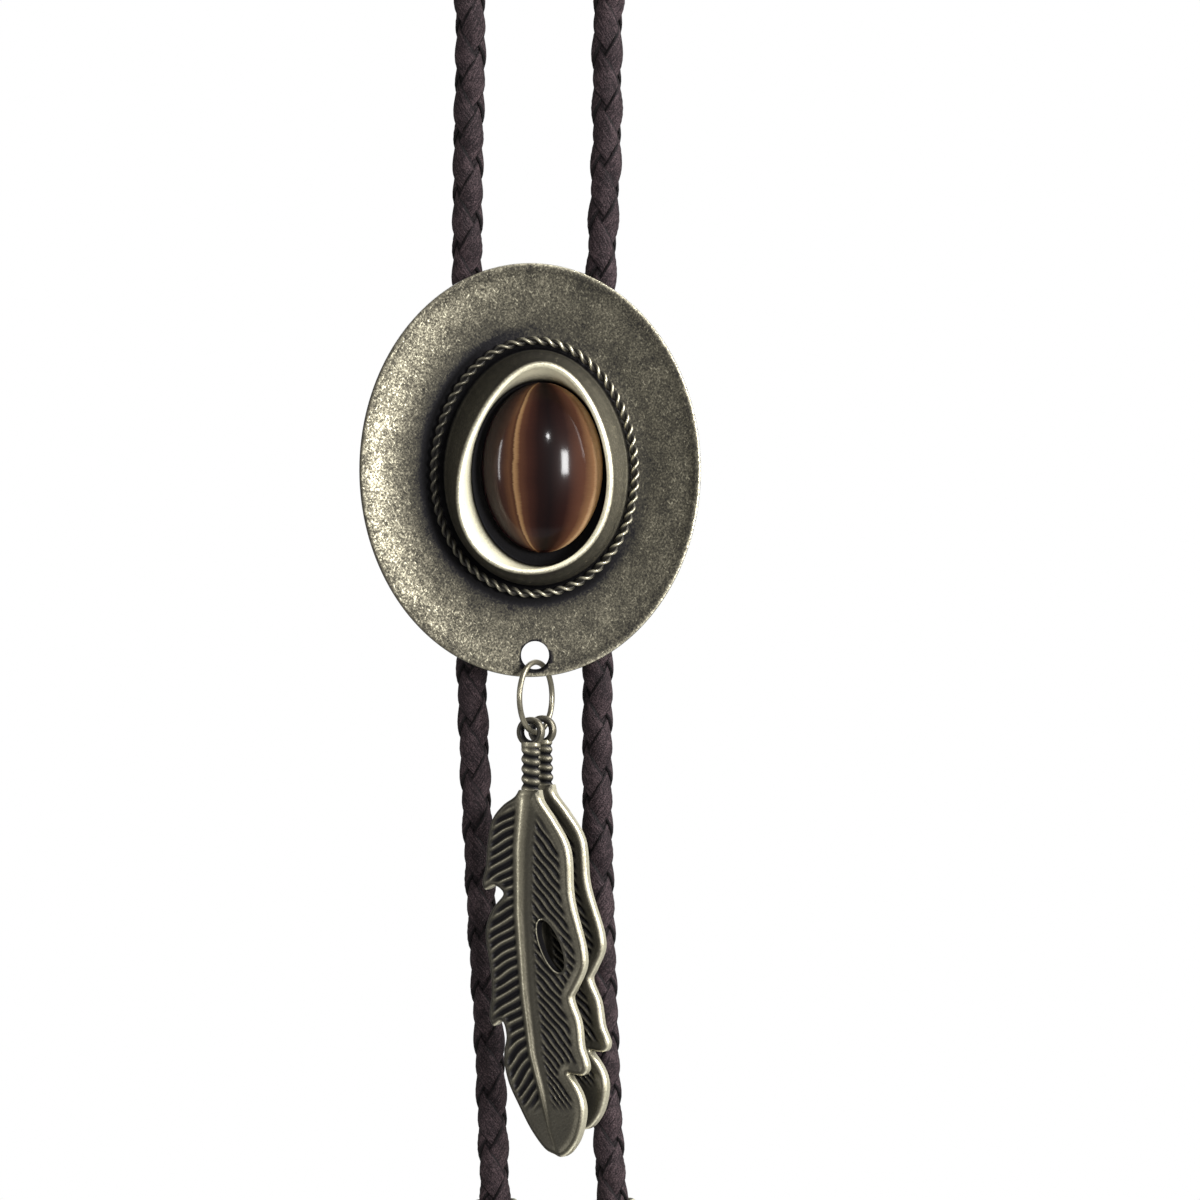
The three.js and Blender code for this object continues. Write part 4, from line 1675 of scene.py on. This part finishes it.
@dataclass
class Feather:
    """A cast feather: eye, wrapped quill, rib and a vane with barbs on both sides of it."""

    name: str
    node: str
    body: Body
    along: float
    stretch: float = 1.0
    slant: float = 0.0
    thick: float = 1.1
    spacing: float = 0.17
    insets: tuple[float, ...] = (0.1, 0.25)
    clearance: float = 0.95
    corner_angle: float = 100.0
    dish: float = 0.22
    dish_from: tuple[float, float] = (0.2, 3.0)
    front_polish: float = 0.35
    back_wear: float = 0.34
    back_edge: tuple[float, float] = (0.1, 0.7)
    back_edge_wear: float = 0.3
    back_polish: float = 0.2
    wall_rows: int = 4
    wall_polish: float = 0.6
    # Worn walls of the vane, the right one painted paler where the light falls.
    right_wall_lit_wear: float = 0.89
    left_wall_wear: float = 0.62
    slit_wall_wear: float = 0.2
    slit: Slit = Slit()
    relief: Relief = Relief()
    # Outline of the vane: x, distance down from the eye
    outline: tuple[tuple[float, float], ...] = (
        (-1.3, 7), (-1.9, 7.8), (-3.5, 8.85), (-5, 10.55), (-5.7, 13.3), (-6, 16.4), (-6.45, 18.5),
        (-6.05, 19.2), (-4.6, 18.7), (-3.5, 19.6), (-4.6, 21), (-5.45, 22.3), (-6, 24.4), (-5.35, 28.8),
        (-5.15, 31.6), (-5.45, 34.8), (-4.95, 35.7), (-3.7, 35.1), (-3.1, 36.8), (-3.4, 38.6), (-3.45, 39.8),
        (-2.85, 42.4), (-1.4, 45.2), (0.4, 48.2), (2.35, 50.4), (3.5, 50.9), (4.35, 51.2), (5.2, 50.85),
        (5.9, 50.15), (6.6, 49.1), (7.2, 47.4), (7.45, 45.4), (7, 43.6), (5.4, 41.1), (7.4, 41.2),
        (7.9, 40.3), (7.2, 38), (6.8, 35), (5.75, 31.9),
        (6.2, 31), (7.5, 28.2), (7.45, 26.3), (5.75, 20), (5.2, 14), (3.3, 10.6), (1.6, 8.2), (1.3, 7),
    )
    # Middle of the rib: x, distance down, half width
    rib: tuple[tuple[float, float, float], ...] = (
        (-0.4, 7, 0.8), (-1.1, 14, 0.62), (-1.1, 22, 0.5), (-0.35, 31.6, 0.42), (0.7, 39, 0.34),
        (1.9, 43.2, 0.28), (3, 48, 0.15), (4, 51, 0.1),
    )

    def border(self) -> Array:
        """Smooths the outline between its sharp corners.

        Returns:
            Close points round the vane.
        """
        corners = np.array(self.outline)
        breaks = [0]
        for i in range(1, len(corners) - 1):
            arrive, leave = corners[i] - corners[i - 1], corners[i + 1] - corners[i]
            bend = abs(math.atan2(arrive[0] * leave[1] - arrive[1] * leave[0], arrive @ leave))
            if math.degrees(bend) > self.corner_angle:
                breaks.append(i)
        breaks.append(len(corners) - 1)
        runs = []
        for start, end in zip(breaks, breaks[1:]):
            run = corners[start : end + 1]
            smooth = smooth_curve(run, self.spacing, keys=2) if len(run) > 2 else evenly(run, self.spacing, 2)
            runs.append(smooth[:-1])
        closing = evenly(np.array([corners[-1], corners[0]]), self.spacing, 2)
        return np.vstack([*runs, closing[:-1]])

    def inset(self, border: Array, slit: Array, depth: float) -> Array:
        """Gives points at one distance from the border and from the slit.

        Args:
            border: the line round the vane.
            slit: the line round the slit.
            depth: the distance.

        Returns:
            Those points that no other stretch of the lines is nearer to.
        """
        found = []
        for line in (border, slit):
            along = np.roll(line, -1, axis=0) - np.roll(line, 1, axis=0)
            square = np.stack([-along[:, 1], along[:, 0]], axis=1) / np.linalg.norm(along, axis=1)[:, None]
            found += [line + square * depth, line - square * depth]
        points = np.vstack(found)
        clear = np.minimum(nearest(points, border)[0], nearest(points, slit)[0])
        return points[inside(points, border) & ~inside(points, slit) & (clear > self.clearance * depth)]

    def grid(self, border: Array, slit: Array) -> Array:
        """Fills the vane with evenly spaced points.

        Args:
            border: the line round the vane.
            slit: the line round the slit.

        Returns:
            Those points that are clear of the insets.
        """
        low, high = border.min(axis=0), border.max(axis=0)
        rows = np.arange(low[1], high[1], self.spacing * math.sqrt(3) / 2)
        x, down = np.meshgrid(np.arange(low[0], high[0], self.spacing), rows)
        x = x + (np.arange(len(rows)) % 2)[:, None] * self.spacing / 2
        points = np.stack([x.ravel(), down.ravel()], axis=1)
        points = points[inside(points, border) & ~inside(points, slit)]
        clear = np.minimum(nearest(points, border)[0], nearest(points, slit)[0])
        return points[clear > self.insets[-1] + self.spacing / 2]

    def plate(self, border: Array, slit: Array) -> tuple[Array, Array]:
        """Divides the vane into triangles.

        Args:
            border: the line round the vane.
            slit: the line round the slit.

        Returns:
            Flat points and triangles, all of which turn the same way.
        """
        lines = [self.inset(border, slit, depth) for depth in self.insets]
        flat = np.vstack([border, slit, *lines, self.grid(border, slit)])
        loops = [(0, len(border)), (len(border), len(slit))]
        edges = [(first + k, first + (k + 1) % count) for first, count in loops for k in range(count)]
        outline = [list(range(len(border)))]
        points = [Vector(point) for point in flat]
        made = delaunay_2d_cdt(points, edges, outline, TRIANGLES_INSIDE, SAME_PLACE)
        flat, faces = np.array([tuple(point) for point in made[0]]), np.array(made[2])
        faces = faces[~inside(flat[faces].mean(axis=1), slit)]
        first, second = flat[faces[:, 1]] - flat[faces[:, 0]], flat[faces[:, 2]] - flat[faces[:, 0]]
        area = first[:, 0] * second[:, 1] - first[:, 1] * second[:, 0]
        return flat, np.where((area > 0)[:, None], faces[:, ::-1], faces)

    def vane(self, shell: Shell) -> None:
        """Adds the vane: a front with its relief, a plain back, and walls between them.

        Args:
            shell: what it is added to.
        """
        border, slit = self.border(), self.slit.edge()
        flat, faces = self.plate(border, slit)
        x, down = flat.T
        edge, which = nearest(flat, border)
        right = (np.roll(border, -1, axis=0) - np.roll(border, 1, axis=0))[:, 1] < 0
        at, middle, half = np.array(self.rib).T[[1, 0, 2]]
        rib = np.interp(down, at, middle), np.interp(down, at, half)
        height, wear = self.relief.at(flat, rib, edge, right[which], self.slit)
        front = np.stack([x, -self.thick / 2 - height, -down * self.stretch], axis=1)
        shell.add(front, faces[:, ::-1].tolist(), wear, self.front_polish)
        dish = self.dish * soft_step(edge, *self.dish_from)
        back = np.stack([x, self.thick / 2 - dish, -down * self.stretch], axis=1)
        back_wear = self.back_wear + self.back_edge_wear * (1 - soft_step(edge, *self.back_edge))
        shell.add(back, faces.tolist(), back_wear, self.back_polish)
        levels = np.linspace(0, 1, self.wall_rows)[:, None, None]
        outer_wear = np.where(right, self.right_wall_lit_wear, self.left_wall_wear)
        slit_wear = np.full(len(slit), self.slit_wall_wear)
        for loop, wall_wear, turn in ((border, outer_wear, -1), (slit, slit_wear, 1)):
            found = nearest(loop, flat)[1]
            rings = mixed(front[found], back[found], levels)
            quads = ring_quads(self.wall_rows, len(loop))[:, ::turn]
            shell.add(rings, quads.tolist(), np.tile(wall_wear, self.wall_rows), self.wall_polish)

    def build(self, material: bpy.types.Material, drop: Drop) -> bpy.types.Object:
        """Casts the feather and hangs it on the ring.

        Args:
            material: its metal.
            drop: where it hangs.

        Returns:
            The feather.
        """
        shell = Shell()
        self.vane(shell)
        Quill().add_to(shell, self.stretch)
        Eye().add_to(shell)
        shell.move(drop.eye_matrix(self.along, self.slant))
        return fit(shell.build(self.name, material, ROUND_ANGLE), self.body, Slot.BRASS, self.node)


@dataclass
class CordSet:
    """The neck loop, the two tails and their tips."""

    # Neck loop, from the left sleeve round to the right one: x, height
    loop: tuple[tuple[float, float], ...] = (
        (-7.5, 0.15), (-7.65, 12), (-7.75, 24), (-7.6, 40), (-7.4, 56), (-8.6, 67), (-13.5, 77),
        (-24, 85.5), (-39, 91), (-56, 95.5), (-71, 102.5), (-81.5, 113.5), (-86, 126.5), (-83, 140.5),
        (-73, 152.5), (-57, 161), (-38, 165.8), (-19, 167.6), (0, 168), (19, 167.6), (38, 165.8),
        (57, 161), (73, 152.5), (83, 140.5), (86, 126.5), (81.5, 113.5), (71, 102.5), (56, 95.5),
        (40, 91), (26, 85.5), (15.6, 77), (10.8, 67), (9.5, 56), (9.3, 40), (8.6, 24), (8.4, 12),
        (8.35, 0.15),
    )
    loop_turn: tuple[float, float] = (47.7, -81.7)
    loop_phase: float = -0.25
    tail_turns: tuple[float, float] = (-65.0, -38.0)
    tail_phases: tuple[float, float] = (2.1, -0.9)
    tail_lead: float = 13.0
    left: tuple[tuple[float, float, float], ...] = (
        (-7.5, CORD_Y, -0.15), (-7.45, CORD_Y, -9), (-7.3, 6.2, -21), (-7, 7.4, -32), (-6.5, TAIL_Y, -44),
        (-5.9, TAIL_Y, -56), (-5.2, TAIL_Y, -68), (-4.7, TAIL_Y, -80), (-4.2, TAIL_Y, -94.5),
    )
    right: tuple[tuple[float, float, float], ...] = (
        (8.35, CORD_Y, -0.15), (8.3, CORD_Y, -9), (8.25, 6.2, -21), (8.15, 7.4, -32), (8.2, TAIL_Y, -44),
        (8.5, TAIL_Y, -56), (8.9, TAIL_Y, -68), (9.4, TAIL_Y, -80), (10.4, TAIL_Y, -94.5),
    )

    def build(self, leather: bpy.types.Material, metal: bpy.types.Material) -> None:
        """Braids the three cords and caps the tails.

        Args:
            leather: finish of the cords.
            metal: finish of the tips.
        """
        loop = [(x, CORD_Y, z) for x, z in self.loop]
        neck = BraidedCord("neck_braid", "neck_cord", loop, *self.loop_turn, self.loop_phase)
        neck.build(leather, (), "object")
        tails = zip(("left", "right"), (self.left, self.right), self.tail_turns, self.tail_phases)
        for side, route, turn, phase in tails:
            tip = Tip(f"end_tip_{side}", f"tip_{side}", route[-1], route[-2]).build(metal)
            cord = BraidedCord(f"tail_braid_{side}", f"tail_{side}", route, turn, turn, phase, self.tail_lead)
            cord.build(leather, (tip,), "fitting")


def main() -> None:
    """Builds the studio and every piece of the tie."""
    logging.basicConfig(level=logging.INFO, format="%(message)s")
    studio = Studio()
    studio.place_camera()
    studio.light()
    studio.lay_floor()
    brass = AntiqueBrass("aged_brass").material()
    cast = AntiqueBrass("cast_brass", mottle=0.12, speckle=0.22, flecks=0.06, rough=0.5).material()
    bright = AntiqueBrass("bright_wire", mottle=0.08, speckle=0.14, flecks=0.0, grain=0.01, rough=0.42)
    wire = bright.material()
    CordSet().build(BraidedLeather("dark_leather").material(), wire)
    drop = Drop()
    front = Feather("feather_cast_front", "feather_front", Body.FRONT, along=-1.3)
    back = Feather("feather_cast_back", "feather_back", Body.BACK, along=1.7, stretch=0.945, slant=-2)
    made = [
        Hat().build(brass),
        RopeBand().build(cast),
        Cabochon().build(TigerEye("tiger_eye").material()),
        CordClasp().build(cast),
        JumpRing().build(wire, drop),
        front.build(cast, drop),
        back.build(cast, drop),
    ]


if __name__ == "__main__":
    main()
